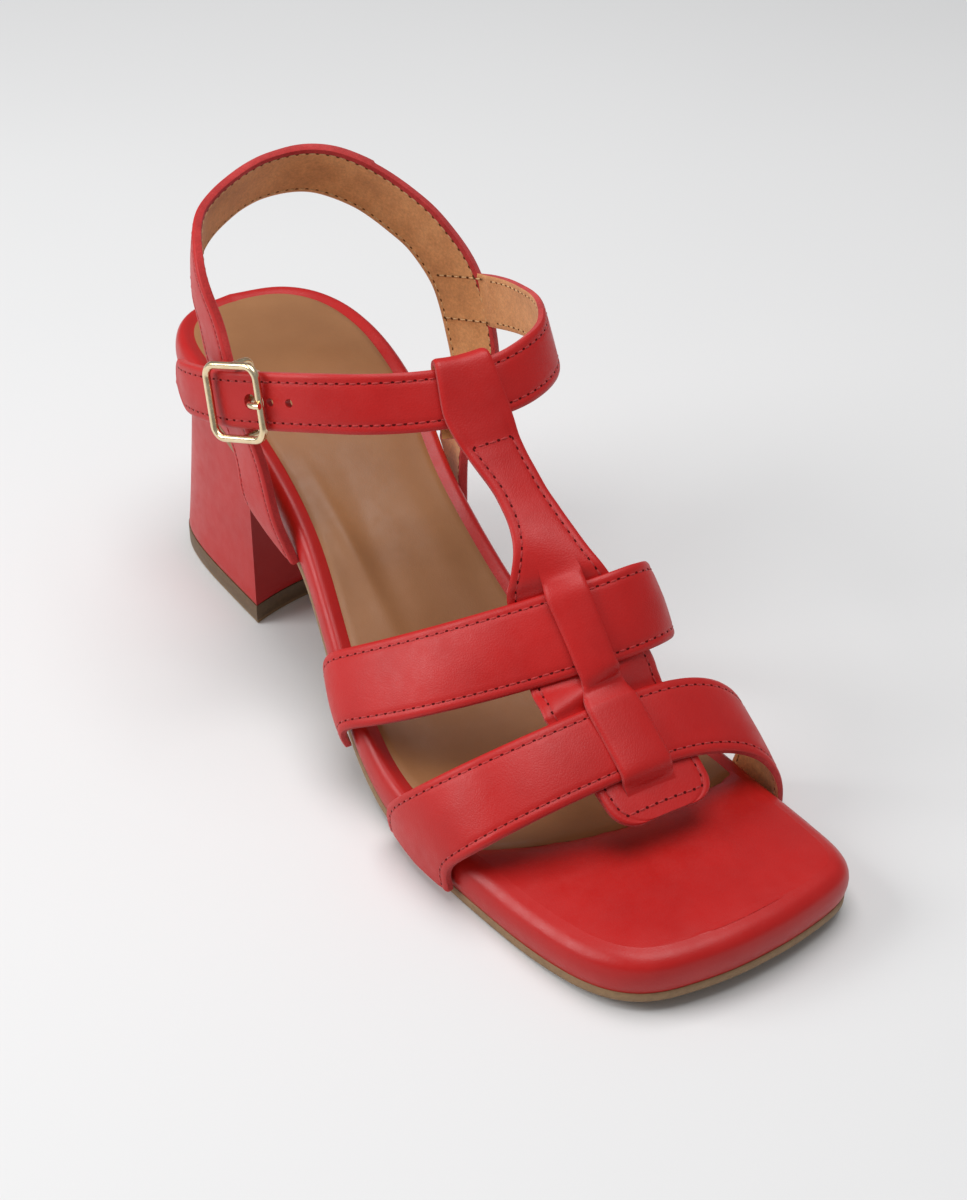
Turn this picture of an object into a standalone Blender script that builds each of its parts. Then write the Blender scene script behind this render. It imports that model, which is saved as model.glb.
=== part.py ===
"""A heeled T-bar sandal for the right foot: wrapped footbed on a thin outsole, a flared block heel,
two front straps threaded through the T-bar, a sling round the heel and a buckled ankle strap.

Sizes and tables are in millimetres and degrees, in the shoe's own frame: x runs from the back of
the heel to the toe, y is positive on the medial side and z is the height above the floor.
MM turns them into metres when a mesh is made.
"""
import math

import bmesh
import bpy
import numpy as np

MM = 0.001
LEATHER = 2.0
GAP = 0.3
CURVE_SAMPLES = 24
STRAP_SAMPLES = 600

# Middle of the sandal's box, brought over the origin
MID_X = 116.95
MID_Y = 1.25

# Sole: outline and height of the outsole's underside along the foot
OUTLINE = (
    # x, lateral, medial
    (-4.5, 0.0, 0.0),
    (-1.5, 14.5, 15.3),
    (8.5, 23.5, 25.2),
    (26.0, 27.0, 29.2),
    (55.0, 27.0, 28.0),
    (85.0, 28.5, 22.2),
    (115.0, 35.5, 23.0),
    (130.0, 38.6, 27.0),
    (145.0, 40.3, 32.5),
    (170.0, 40.5, 38.6),
    (192.0, 38.6, 40.4),
    (212.0, 35.6, 40.4),
    (226.0, 30.8, 38.6),
    (234.0, 22.5, 32.6),
    (237.8, 7.0, 15.5),
)
TOE_TIP = (238.4, 2.5)
ARCH = (
    # x, underside
    (-5.0, 59.6),
    (30.0, 56.6),
    (60.0, 48.0),
    (85.0, 35.8),
    (110.0, 20.0),
    (132.0, 6.5),
    (150.0, 1.2),
    (164.0, 0.0),
    (194.0, 0.0),
    (214.0, 1.0),
    (240.0, 4.5),
)
SOLE_STEPS = 46
SOLE_COLUMNS = 4
OUTSOLE_THICK = 3.0
OUTSOLE_BEVEL_INSET = 0.6
OUTSOLE_BEVEL_HEIGHT = 0.5
FOOTBED_WALL = (
    # inset from the outline, height over the outsole
    (2.0, 0.0),
    (0.7, 2.2),
    (0.5, 5.2),
    (1.1, 8.0),
    (2.4, 9.3),
    (3.6, 9.3),
    (5.6, 8.7),
)
FOOTBED_CROWN = 9.0
SOCK_INSET = 5.6
SOCK_THICK = 1.1
SOCK_BEVEL_INSET = 0.6
SOCK_BEVEL_HEIGHT = 0.2
SOCK_FRONT_X = 191.5
SOCK_FRONT_Y = 13.0
SOCK_FRONT_RADIUS = 84.0
POCKET_ABOVE_SOCK = 6.0
TOE_BLOCK = (160.0, 200.0, 60.0)
TOE_BLOCK_BEHIND = 20.0
TOE_BLOCK_Z = 20.0

# Heel block and top lift
LIFT_THICK = 5.7
HEEL_BACK = -3.5
HEEL_FRONT = 53.5
HEEL_HALF_WIDTH = 25.8
HEEL_TOP_BACK = 4.0
HEEL_TOP_FRONT = 47.5
HEEL_TOP_HALF_WIDTH = 22.5
HEEL_SQUARENESS = 4.6
HEEL_FLARE = 0.85
BREAST_HOLLOW_FLOOR = 5.0
BREAST_HOLLOW_TOP = 3.5
BREAST_SHARPNESS = 6
HEEL_STEPS = 16
HEEL_COLUMNS = 6
HEEL_LEVELS = 5

# Last: each section is an arch over the foot, from the rim on one side to the rim on the other
SECTIONS = (
    # ridge x, y, z; lateral rim x, reach, fullness; medial rim x, reach, fullness
    (118.2, 5.0, 95.8, 84.0, 30.0, 2.8, 88.0, 36.0, 2.8),
    (141.5, 5.0, 78.6, 98.0, 34.0, 2.3, 106.0, 35.0, 2.9),
    (164.0, 16.0, 66.0, 111.0, 38.0, 1.45, 121.0, 34.5, 3.2),
    (175.5, 14.0, 49.0, 127.5, 43.5, 1.56, 131.0, 36.5, 3.2),
    (178.0, 0.0, 41.8, 151.6, 44.0, 2.55, 180.0, 46.5, 2.7),
    (193.5, -2.0, 31.5, 178.0, 43.5, 2.4, 199.5, 43.0, 2.2),
    (202.5, -1.0, 25.0, 187.0, 43.0, 2.4, 208.0, 42.0, 2.2),
)
REAR_BACK, REAR_FRONT, TOE_BACK, TOE_FRONT, TIP = range(2, 7)
RIM_OVER_SOLE = 11.0
STRAP_OUTSIDE_SOLE = 2.0
ARCH_STEPS = 12
WALL_STEPS = 3

# T-bar
TBAR = (
    # section, half width, sideways place of its middle
    (0.0, 7.6, 3.6),
    (0.5, 7.4, 3.6),
    (0.9, 6.6, 4.7),
    (1.1, 6.9, 4.7),
    (1.3, 7.5, 4.3),
    (1.5, 8.3, 3.6),
    (1.75, 9.7, 2.8),
    (2.0, 11.1, 2.6),
    (3.0, 14.8, 3.3),
    (3.7, 16.6, 3.5),
    (4.0, 16.6, 4.1),
    (5.0, 14.8, 4.8),
)
TBAR_STEPS = 21
TBAR_COLUMNS = 7
TAB_ROUNDING = 0.55
TAB_STEPS = 6
TAB_END_SHARE = 0.55
TAB_TAPER = 0.06
STRIP_Y = 3.4
STRIP_COLUMNS = 4
STRIP = (
    # section, height over the last, half width: up over each front strap, down to the T-bar between them
    (1.72, -2.3, 4.4),
    (1.84, -0.6, 4.4),
    (1.94, 1.3, 4.4),
    (2.06, 1.75, 4.4),
    (2.50, 1.75, 4.4),
    (2.94, 1.75, 4.4),
    (3.20, 0.7, 4.8),
    (3.50, -0.8, 5.6),
    (3.80, 0.7, 6.5),
    (4.06, 1.75, 6.9),
    (4.50, 1.75, 6.9),
    (4.94, 1.75, 6.9),
    (5.14, 0.7, 6.9),
    (5.32, -1.0, 6.9),
    (5.46, -2.3, 6.9),
)
SEAM_DEPTH = 0.7

# Line inside the ankle that the sling and the ankle strap face away from
ANKLE_CORE_BACK = 55.0
ANKLE_CORE_FRONT = 88.0
ANKLE_CORE_Y = 2.0

# Sling round the heel; the rows of each side run from near the middle of the back down to the sole
SLING_WIDTH = 17.0
SLING_BACK = (25.0, 4.0, 118.2, 29.0, 0.0, 0.0)
SLING_LATERAL = (
    # x, y, z, lean, skew, turn towards the heel
    (27.6, 9.8, 117.2, 25.0, 0.0, 0.0),
    (34.2, 24.3, 112.4, 12.0, 0.0, 0.0),
    (45.0, 31.2, 104.6, 6.0, 0.0, 6.0),
    (53.5, 32.5, 95.0, 3.0, 0.0, 8.0),
    (63.3, 33.6, 79.0, 0.0, 0.0, 6.0),
    (70.0, 32.4, 64.5, 0.0, 14.0, 3.0),
)
SLING_MEDIAL = (
    # x, y, z, lean, skew, turn towards the heel
    (28.2, 15.2, 117.4, 26.0, 0.0, 0.0),
    (34.4, 25.4, 112.4, 19.0, 0.0, 0.0),
    (42.0, 32.6, 105.6, 12.0, 0.0, 10.0),
    (48.0, 36.7, 99.8, 8.0, 0.0, 15.0),
    (54.6, 40.6, 89.8, 0.0, 0.0, 20.0),
    (60.5, 41.4, 77.0, 0.0, 0.0, 21.0),
    (67.0, 38.6, 65.0, 0.0, 10.0, 14.0),
)
SLING_FOOT_X = 75.5
SLING_OUTSIDE_SOLE = 2.6
SLING_FOOT_SKEW = 40.0
SLING_FOOT_TURN = {-1: 3.0, 1: -12.0}
SLING_WALL = (1.8, 1.9, 8.0)
SLING_WALL_SKEW = 31.5
SLING_STEPS = 44

# Ankle strap, from its seam on the medial side of the sling to its tip
ANKLE_WIDTH = 14.4
ANKLE = (
    # x, y, z, lean
    (51.0, 38.4, 83.4, 0.0),
    (66.0, 43.0, 87.0, 0.0),
    (81.5, 42.6, 91.4, 4.0),
    (98.0, 38.6, 95.4, 10.0),
    (111.5, 31.0, 96.3, 20.0),
    (118.4, 18.0, 96.2, 32.0),
    (118.0, 4.5, 95.0, 38.0),
    (115.0, -8.0, 95.2, 34.0),
    (108.0, -19.0, 94.5, 24.0),
    (97.0, -28.0, 92.4, 12.0),
    (84.0, -34.5, 88.8, 5.0),
    (72.0, -39.2, 85.4, 2.0),
    (58.0, -41.0, 81.6, 0.0),
    (47.0, -39.5, 78.6, 0.0),
)
ANKLE_STEPS = 64
LOOP_AT = 6
LOOP_HALF_WIDTH = 8.0
LOOP_ROW_STEP = 6
LOOP_STEPS = 7
LOOP_THICK = 5.6
STRAP_TIP = 6.0
TIP_END_SHARE = 0.16
LATERAL_LIMIT_Y = -12.0

# Buckle, elastic tab and punched holes; places along, out of and across the strap at the buckle
BUCKLE_X = 78.5
BUCKLE_FRONT = -7.5
BUCKLE_REAR = 9.0
BUCKLE_HALF_HEIGHT = 9.3
BUCKLE_CORNER = 3.2
BUCKLE_WIRE = 1.0
BUCKLE_OUT = 2.4
BAR_WIRE = 0.9
BAR_OUT = -4.3
BAR = (
    # out, across
    (BUCKLE_OUT, BUCKLE_HALF_HEIGHT),
    (-2.6, BUCKLE_HALF_HEIGHT),
    (-3.8, 8.8),
    (BAR_OUT, 7.6),
    (BAR_OUT, -7.6),
    (-3.8, -8.8),
    (-2.6, -BUCKLE_HALF_HEIGHT),
    (BUCKLE_OUT, -BUCKLE_HALF_HEIGHT),
)
PRONG_WIRE = 0.8
PRONG = (
    # along, out
    (-1.5, -2.9),
    (-2.3, -2.0),
    (-3.2, 0.0),
    (-4.2, 2.2),
    (-5.6, 3.8),
    (-7.5, 4.5),
    (-9.2, 4.4),
)
ELASTIC_WIDTH = 12.0
ELASTIC_THICK = 0.8
ELASTIC_SEAM = (63.0, -31.2, 84.0)
ELASTIC_NOTCH = (7.6, 9.0, 4.6)
ELASTIC_END = (2.4, 0.6)
PRONG_HOLE_AT = -3.2
PRONG_HOLE_RADIUS = 2.5
HOLE_RADIUS = 1.1
HOLE_PITCH = 6.1
HOLES_AHEAD = (1, 2)


def smooth_rows(rows):
    """Function giving a row at any x, by a monotone cubic through the rows' first column."""
    table = np.array(rows, dtype=float)
    xs, values = table[:, 0], table[:, 1:]
    steps = np.diff(xs)[:, None]
    slopes = np.diff(values, axis=0) / steps
    tangents = np.zeros_like(values)
    tangents[0], tangents[-1] = slopes[0], slopes[-1]
    for i in range(1, len(xs) - 1):
        before, after = slopes[i - 1], slopes[i]
        same = before * after > 0
        mean = 2 * before * after / np.where(same, before + after, 1.0)
        tangents[i] = np.where(same, mean, 0.0)

    def row_at(x):
        i = int(np.clip(np.searchsorted(xs, x) - 1, 0, len(xs) - 2))
        h = xs[i + 1] - xs[i]
        t = float(np.clip((x - xs[i]) / h, 0.0, 1.0))
        ease = t * t * (3 - 2 * t)
        lead = t * (1 - t) ** 2
        trail = -t * t * (1 - t)
        return (values[i] * (1 - ease) + values[i + 1] * ease
                + h * (lead * tangents[i] + trail * tangents[i + 1]))

    return row_at


def curve_through(points, count):
    """Points evenly spaced along a smooth open curve through the given rows."""
    rows = np.array(points, dtype=float)
    ends = np.vstack([2 * rows[0] - rows[1], rows, 2 * rows[-1] - rows[-2]])
    fine = []
    for i in range(1, len(ends) - 2):
        before, start, end, after = ends[i - 1:i + 3]
        for t in np.linspace(0.0, 1.0, CURVE_SAMPLES, endpoint=False):
            fine.append(0.5 * (2 * start + (end - before) * t
                               + (2 * before - 5 * start + 4 * end - after) * t ** 2
                               + (3 * start - before - 3 * end + after) * t ** 3))
    fine.append(ends[-2])
    fine = np.array(fine)
    length = np.concatenate([[0.0], np.cumsum(np.linalg.norm(np.diff(fine[:, :2], axis=0), axis=1))])
    wanted = np.linspace(0.0, length[-1], count)
    return np.stack([np.interp(wanted, length, column) for column in fine.T], axis=1)


arch_row = smooth_rows(ARCH)
edge_row = smooth_rows(OUTLINE)


def sole_z(x):
    """Height of the outsole's underside."""
    return float(arch_row(x)[0])


def sole_edge(x, side):
    """Sideways place of the sole's outline: side is -1 for lateral, 1 for medial."""
    lateral, medial = edge_row(x)
    return medial if side > 0 else -lateral


def outline_side(side, inset):
    """One side of the outline from heel to toe, moved in from the edge."""
    points = [(x, side * (medial if side > 0 else lateral)) for x, lateral, medial in OUTLINE]
    points.append(TOE_TIP)
    line = curve_through(points, SOLE_STEPS + 1)
    ahead = np.gradient(line, axis=0)
    ahead[0] = (0.0, side)
    ahead[-1] = (0.0, -side)
    ahead /= np.linalg.norm(ahead, axis=1)[:, None]
    inward = side * np.stack([ahead[:, 1], -ahead[:, 0]], axis=1)
    return line + inset * inward


def sole_grid(inset, height):
    """Rungs across the sole from its lateral to its medial edge, at a height over the underside."""
    lateral = outline_side(-1, inset)
    medial = outline_side(1, inset)
    across = np.linspace(0.0, 1.0, SOLE_COLUMNS + 1)
    grid = lateral[:, None, :] * (1 - across)[None, :, None] + medial[:, None, :] * across[None, :, None]
    z = np.array([[sole_z(x) for x in rung] for rung in grid[:, :, 0]])
    return np.dstack([grid, z + height])


def material(name, colour, roughness, metallic=0.0):
    """Principled material of one colour."""
    made = bpy.data.materials.new(name)
    made.use_nodes = True
    shader = made.node_tree.nodes["Principled BSDF"]
    shader.inputs["Base Color"].default_value = (*colour, 1.0)
    shader.inputs["Roughness"].default_value = roughness
    shader.inputs["Metallic"].default_value = metallic
    return made


def new_object(name, mesh, collection, look=None):
    """Object in a collection, with its material."""
    made = bpy.data.objects.new(name, mesh)
    collection.objects.link(made)
    if look:
        mesh.materials.append(look)
    return made


def finish_mesh(name, shape, closed=True):
    """Mesh from a bmesh in millimetres, scaled to metres; a closed one has its faces turned outward."""
    bmesh.ops.remove_doubles(shape, verts=shape.verts, dist=0.001)
    bmesh.ops.dissolve_degenerate(shape, edges=shape.edges, dist=0.001)
    if closed:
        bmesh.ops.recalc_face_normals(shape, faces=shape.faces)
    bmesh.ops.scale(shape, vec=(MM, MM, MM), verts=shape.verts)
    mesh = bpy.data.meshes.new(name)
    shape.to_mesh(mesh)
    shape.free()
    mesh.shade_smooth()
    mesh.set_sharp_from_angle(angle=math.radians(35))
    return mesh


def add_grid(shape, grid):
    """Faces of a grid of points, and its vertices row by row."""
    verts = [[shape.verts.new(point) for point in row] for row in grid]
    for a, b in zip(verts, verts[1:]):
        for i in range(len(a) - 1):
            shape.faces.new((a[i], a[i + 1], b[i + 1], b[i]))
    return verts


def rim_of(grid):
    """Points round the edge of a grid."""
    return np.concatenate([grid[:, 0], grid[-1, 1:], grid[-2::-1, -1], grid[0, -2:0:-1]])


def stacked_mesh(name, grids):
    """Closed loft through grids of one pattern, lowest first: floor, walls and top."""
    shape = bmesh.new()
    add_grid(shape, grids[0])
    add_grid(shape, grids[-1])
    rims = [[shape.verts.new(point) for point in rim_of(grid)] for grid in grids]
    for low, high in zip(rims, rims[1:]):
        for i in range(len(low)):
            k = (i + 1) % len(low)
            shape.faces.new((low[i], low[k], high[k], high[i]))
    return finish_mesh(name, shape)


def sheet_mesh(name, grid):
    """Open sheet through a grid of points, to be given its thickness."""
    shape = bmesh.new()
    add_grid(shape, grid)
    return finish_mesh(name, shape, closed=False)


def thicken(sheet, thickness, offset):
    """Leather of a given thickness; an offset of -1 keeps the sheet as the outer face."""
    solid = sheet.modifiers.new("thickness", "SOLIDIFY")
    solid.thickness = thickness * MM
    solid.offset = offset
    solid.use_even_offset = True


def combine(base, other, operation, solver="EXACT"):
    """Boolean of a part with a hidden form."""
    boolean = base.modifiers.new(other.name, "BOOLEAN")
    boolean.operation = operation
    boolean.solver = solver
    boolean.object = other


def hide_form(form):
    """A form that only cuts or joins."""
    form.hide_render = True
    form.display_type = "WIRE"


def make_outsole(parts, look):
    grids = [sole_grid(OUTSOLE_BEVEL_INSET, 0.0), sole_grid(0.0, OUTSOLE_BEVEL_HEIGHT),
             sole_grid(0.0, OUTSOLE_THICK)]
    return new_object("outsole", stacked_mesh("outsole", grids), parts, look)


def toe_form(name, forms, front_x):
    """Block ahead of the sock's curved front edge."""
    shape = bmesh.new()
    bmesh.ops.create_cube(shape, size=1.0)
    bmesh.ops.scale(shape, vec=TOE_BLOCK, verts=shape.verts)
    bmesh.ops.translate(shape, vec=(front_x - TOE_BLOCK_BEHIND, SOCK_FRONT_Y, TOE_BLOCK_Z), verts=shape.verts)
    form = new_object(name, finish_mesh(name, shape), forms)
    disc = bmesh.new()
    bmesh.ops.create_cone(disc, cap_ends=True, segments=96, radius1=SOCK_FRONT_RADIUS,
                          radius2=SOCK_FRONT_RADIUS, depth=2 * TOE_BLOCK[2])
    bmesh.ops.translate(disc, vec=(front_x - SOCK_FRONT_RADIUS, SOCK_FRONT_Y, TOE_BLOCK_Z), verts=disc.verts)
    round_back = new_object(name + "_round", finish_mesh(name + "_round", disc), forms)
    combine(form, round_back, "DIFFERENCE")
    hide_form(form)
    hide_form(round_back)
    return form


def make_footbed_and_sock(parts, forms, red, tan):
    base = OUTSOLE_THICK + GAP
    grids = [sole_grid(inset, base + height) for inset, height in FOOTBED_WALL]
    grids[-1][1:-1, 1:-1, 2] += FOOTBED_CROWN - FOOTBED_WALL[-1][1]
    footbed = new_object("footbed", stacked_mesh("footbed", grids), parts, red)

    top = base + FOOTBED_CROWN
    floor = top - SOCK_THICK
    inset = SOCK_INSET + GAP
    sock_grids = [sole_grid(inset, floor), sole_grid(inset, top - SOCK_BEVEL_HEIGHT),
                  sole_grid(inset + SOCK_BEVEL_INSET, top)]
    sock = new_object("insole_sock", stacked_mesh("insole_sock", sock_grids), parts, tan)
    combine(sock, toe_form("toe_ahead_of_sock", forms, SOCK_FRONT_X), "DIFFERENCE")

    pocket_grids = [sole_grid(SOCK_INSET, floor - GAP), sole_grid(SOCK_INSET, top + POCKET_ABOVE_SOCK)]
    pocket = new_object("sock_pocket", stacked_mesh("sock_pocket", pocket_grids), forms)
    combine(pocket, toe_form("toe_ahead_of_pocket", forms, SOCK_FRONT_X + GAP), "DIFFERENCE")
    hide_form(pocket)
    combine(footbed, pocket, "DIFFERENCE")
    return footbed, sock


def heel_outline(share):
    """Rungs of the heel block: share 0 is its floor end, 1 its top under the seat."""
    narrow = share ** HEEL_FLARE
    back = HEEL_BACK + (HEEL_TOP_BACK - HEEL_BACK) * narrow
    front = HEEL_FRONT + (HEEL_TOP_FRONT - HEEL_FRONT) * narrow
    half_width = HEEL_HALF_WIDTH + (HEEL_TOP_HALF_WIDTH - HEEL_HALF_WIDTH) * narrow
    hollow = BREAST_HOLLOW_FLOOR + (BREAST_HOLLOW_TOP - BREAST_HOLLOW_FLOOR) * narrow
    turn = np.linspace(0.0, 1.0, HEEL_STEPS + 1)
    bend = 2.0 / HEEL_SQUARENESS
    x = front - (front - back) * np.cos(turn * math.pi / 2) ** bend
    half = half_width * np.sin(turn * math.pi / 2) ** bend
    across = np.linspace(-1.0, 1.0, HEEL_COLUMNS + 1)
    grid = np.zeros((HEEL_STEPS + 1, HEEL_COLUMNS + 1, 3))
    grid[:, :, 0] = x[:, None] - hollow * turn[:, None] ** BREAST_SHARPNESS * (1 - across ** 2)
    grid[:, :, 1] = half[:, None] * across
    return grid


def make_heel(parts, red, brown):
    lift_grids = []
    for height in (0.0, LIFT_THICK):
        grid = heel_outline(0.0)
        grid[:, :, 2] = height
        lift_grids.append(grid)
    lift = new_object("top_lift", stacked_mesh("top_lift", lift_grids), parts, brown)

    floor = LIFT_THICK + GAP
    block_grids = []
    for share in np.linspace(0.0, 1.0, HEEL_LEVELS):
        grid = heel_outline(share)
        for i, k in np.ndindex(grid.shape[:2]):
            grid[i, k, 2] = floor + (sole_z(grid[i, k, 0]) - GAP - floor) * share
        block_grids.append(grid)
    block = new_object("heel_block", stacked_mesh("heel_block", block_grids), parts, red)
    return block, lift


def section_row(section):
    """Section of the last between two rows of its table."""
    rows = np.array(SECTIONS)
    i = int(np.clip(math.floor(section), 0, len(rows) - 2))
    return rows[i] + (rows[i + 1] - rows[i]) * (section - i)


def arch_point(section, side, share):
    """Point of the last: share 0 is the ridge, 1 the rim on that side, past 1 down the sole's wall."""
    row = section_row(section)
    ridge = row[:3]
    rim_x, reach, fullness = row[3:6] if side < 0 else row[6:9]
    rim_z = sole_z(rim_x) + RIM_OVER_SOLE
    if share <= 1.0:
        angle = share * math.pi / 2
        rise = max(math.cos(angle), 0.0) ** (2 / fullness)
        width = math.sin(angle) ** (2 / fullness)
        return np.array([rim_x + (ridge[0] - rim_x) * rise,
                         ridge[1] + (side * reach - ridge[1]) * width,
                         rim_z + (ridge[2] - rim_z) * rise])
    down = share - 1.0
    foot_y = sole_edge(rim_x, side) + side * STRAP_OUTSIDE_SOLE
    foot_z = sole_z(rim_x) + OUTSOLE_THICK + GAP
    return np.array([rim_x, side * reach + (foot_y - side * reach) * down ** 1.5,
                     rim_z + (foot_z - rim_z) * down])


def last_point(section, y):
    """Point of the last's top over a sideways place y."""
    row = section_row(section)
    side = 1 if y > row[1] else -1
    reach, fullness = (row[4], row[5]) if side < 0 else (row[7], row[8])
    width = abs(y - row[1]) / abs(side * reach - row[1])
    share = 2 / math.pi * math.asin(min(width, 1.0) ** (fullness / 2))
    return arch_point(section, side, share)


def last_normal(section, y):
    """Outward direction of the last's top."""
    step = 0.02
    along = last_point(section + step, y) - last_point(section - step, y)
    across = last_point(section, y + 0.2) - last_point(section, y - 0.2)
    normal = np.cross(along, across)
    normal /= np.linalg.norm(normal)
    return normal if normal[2] > 0 else -normal


def front_strap_grid(back, front):
    """Sheet of a front strap between two sections, from one wall of the sole over to the other."""
    shares = np.concatenate([np.linspace(0.0, 1.0, ARCH_STEPS + 1),
                             1.0 + np.linspace(0.0, 1.0, WALL_STEPS + 1)[1:]])
    route = [(-1, s) for s in shares[:0:-1]] + [(1, s) for s in shares]
    return np.array([[arch_point(section, side, share) for section in np.linspace(back, front, 3)]
                     for side, share in route])


def tbar_width(section):
    """Half width of the T-bar: flared at the straps, rounded at its tab."""
    end = TBAR[-1][0]
    if section <= end:
        return float(tbar_row(section)[0])
    past = max(section - (TIP - TAB_ROUNDING), 0.0) / TAB_ROUNDING
    corner = TAB_END_SHARE + (1.0 - TAB_END_SHARE) * math.sqrt(max(1.0 - past * past, 0.0))
    return TBAR[-1][1] * (1.0 - TAB_TAPER * (section - end)) * corner


tbar_row = smooth_rows(TBAR)


def tbar_grid():
    """Sheet of the T-bar under the front straps."""
    round_end = TAB_ROUNDING * np.sin(np.linspace(0.0, math.pi / 2, TAB_STEPS))
    sections = np.concatenate([np.linspace(0.0, TBAR[-1][0], TBAR_STEPS), TIP - TAB_ROUNDING + round_end])
    drop = LEATHER - SEAM_DEPTH
    grid = []
    for section in sections:
        half = tbar_width(section)
        middle = tbar_row(section)[1]
        row = []
        for y in middle + half * np.linspace(-1.0, 1.0, TBAR_COLUMNS):
            row.append(last_point(section, y) - drop * last_normal(section, y))
        grid.append(row)
    return np.swapaxes(grid, 0, 1)


def strip_grid():
    """Sheet of the T-bar's centre strip, threaded over both front straps."""
    grid = []
    for section, lift, half in STRIP:
        grid.append([last_point(section, y) + lift * last_normal(section, y)
                     for y in STRIP_Y + half * np.linspace(-1.0, 1.0, STRIP_COLUMNS)])
    return np.swapaxes(grid, 0, 1)


def band_frames(rows, count):
    """Stations along a strap: centre, forward, outward and across directions, and skew.

    Each row is x, y, z, lean, skew and turn towards the heel, in millimetres and degrees.
    """
    line = curve_through(rows, count)
    centres = line[:, :3]
    forward = np.gradient(centres, axis=0)
    forward /= np.linalg.norm(forward, axis=1)[:, None]
    outward = np.zeros_like(centres)
    outward[:, 0] = centres[:, 0] - np.clip(centres[:, 0], ANKLE_CORE_BACK, ANKLE_CORE_FRONT)
    outward[:, 1] = centres[:, 1] - ANKLE_CORE_Y
    outward /= np.linalg.norm(outward, axis=1)[:, None]
    outward[:, 0] -= np.tan(np.radians(line[:, 5]))
    outward /= np.linalg.norm(outward, axis=1)[:, None]
    outward[:, 2] = np.tan(np.radians(line[:, 3]))
    outward -= (outward * forward).sum(1)[:, None] * forward
    outward /= np.linalg.norm(outward, axis=1)[:, None]
    return centres, forward, outward, np.cross(forward, outward), np.radians(line[:, 4])


def band_grid(rows, count, width, tip=0.0):
    """Sheet of a strap of even width, with a rounded tip of a given length."""
    centres, forward, outward, across, skew = band_frames(rows, count)
    run = np.concatenate([[0.0], np.cumsum(np.linalg.norm(np.diff(centres, axis=0), axis=1))])
    left = run[-1] - run
    grid = []
    for i in range(count):
        half = width / 2
        if tip and left[i] < tip:
            half *= max(math.sqrt(1.0 - (1.0 - left[i] / tip) ** 2), TIP_END_SHARE)
        line = across[i] * math.cos(skew[i]) + forward[i] * math.sin(skew[i])
        grid.append([centres[i] + v * half / math.cos(skew[i]) * line for v in (-1.0, 0.0, 1.0)])
    return np.array(grid)


def ankle_rows():
    """Centre line of the ankle strap, cut square and not turned."""
    return [row + (0.0, 0.0) for row in ANKLE]


def sling_rows():
    """Centre line of the sling from the lateral side of the sole, round the back, to the medial side."""
    rows = []
    for side, table in ((-1, SLING_LATERAL), (1, SLING_MEDIAL)):
        foot_y = abs(sole_edge(SLING_FOOT_X, side)) + SLING_OUTSIDE_SOLE
        foot_z = sole_z(SLING_FOOT_X) + OUTSOLE_THICK + 2 * GAP
        half = list(table)
        half.append((SLING_FOOT_X - SLING_WALL[0], foot_y + SLING_WALL[1], foot_z + SLING_WALL[2],
                     0.0, SLING_WALL_SKEW, SLING_FOOT_TURN[side] / 2))
        half.append((SLING_FOOT_X, foot_y, foot_z, 0.0, SLING_FOOT_SKEW, SLING_FOOT_TURN[side]))
        half = [(x, side * y, z, lean, side * skew, turn) for x, y, z, lean, skew, turn in half]
        if side < 0:
            rows += half[::-1] + [SLING_BACK]
        else:
            rows += half
    return rows


def make_upper(parts, forms, red):
    """All the straps, joined where they cross."""
    upper = new_object("upper", sheet_mesh("upper", front_strap_grid(REAR_BACK, REAR_FRONT)), parts, red)
    thicken(upper, LEATHER, -1.0)
    loop_rows = ankle_piece(LOOP_HALF_WIDTH)
    pieces = (
        ("toe_strap_form", front_strap_grid(TOE_BACK, TOE_FRONT), LEATHER, -1.0),
        ("tbar_form", tbar_grid(), LEATHER, -1.0),
        ("strip_form", strip_grid(), LEATHER + SEAM_DEPTH, -1.0),
        ("ankle_form", band_grid(ankle_rows(), ANKLE_STEPS, ANKLE_WIDTH, tip=STRAP_TIP), LEATHER, 0.0),
        ("loop_form", band_grid(loop_rows, LOOP_STEPS, ANKLE_WIDTH + 2 * LEATHER), LOOP_THICK, 0.0),
        ("sling_form", band_grid(sling_rows(), SLING_STEPS, SLING_WIDTH), LEATHER, 0.0),
    )
    for name, grid, thickness, offset in pieces:
        form = new_object(name, sheet_mesh(name, grid), forms)
        thicken(form, thickness, offset)
        hide_form(form)
        combine(upper, form, "UNION", "MANIFOLD")
    punch_strap(upper, forms)
    return upper


def ankle_piece(half_length):
    """Rows of the ankle strap's line about the T-bar's loop."""
    line = curve_through(ankle_rows(), STRAP_SAMPLES)
    middle = np.argmin(np.linalg.norm(line[:, :3] - np.array(ANKLE[LOOP_AT][:3]), axis=1))
    near = np.linalg.norm(line[:, :3] - line[middle, :3], axis=1) <= half_length
    return line[near][::LOOP_ROW_STEP]


def strap_station(along):
    """Ankle strap at a distance from the buckle towards its tip: centre, forward, outward, across."""
    centres, forward, outward, across, _ = band_frames(ankle_rows(), STRAP_SAMPLES)
    run = np.concatenate([[0.0], np.cumsum(np.linalg.norm(np.diff(centres, axis=0), axis=1))])
    lateral = np.where(centres[:, 1] < LATERAL_LIMIT_Y)[0]
    buckle = lateral[np.argmin(np.abs(centres[lateral, 0] - BUCKLE_X))]
    i = int(np.argmin(np.abs(run - run[buckle] - along)))
    return centres[i], forward[i], outward[i], across[i]


def at_buckle(along, out, over=0.0):
    """Place by the buckle, from its distances along, out of and across the strap."""
    centre, forward, outward, across = strap_station(0.0)
    return centre + along * forward + out * outward + over * across


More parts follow.
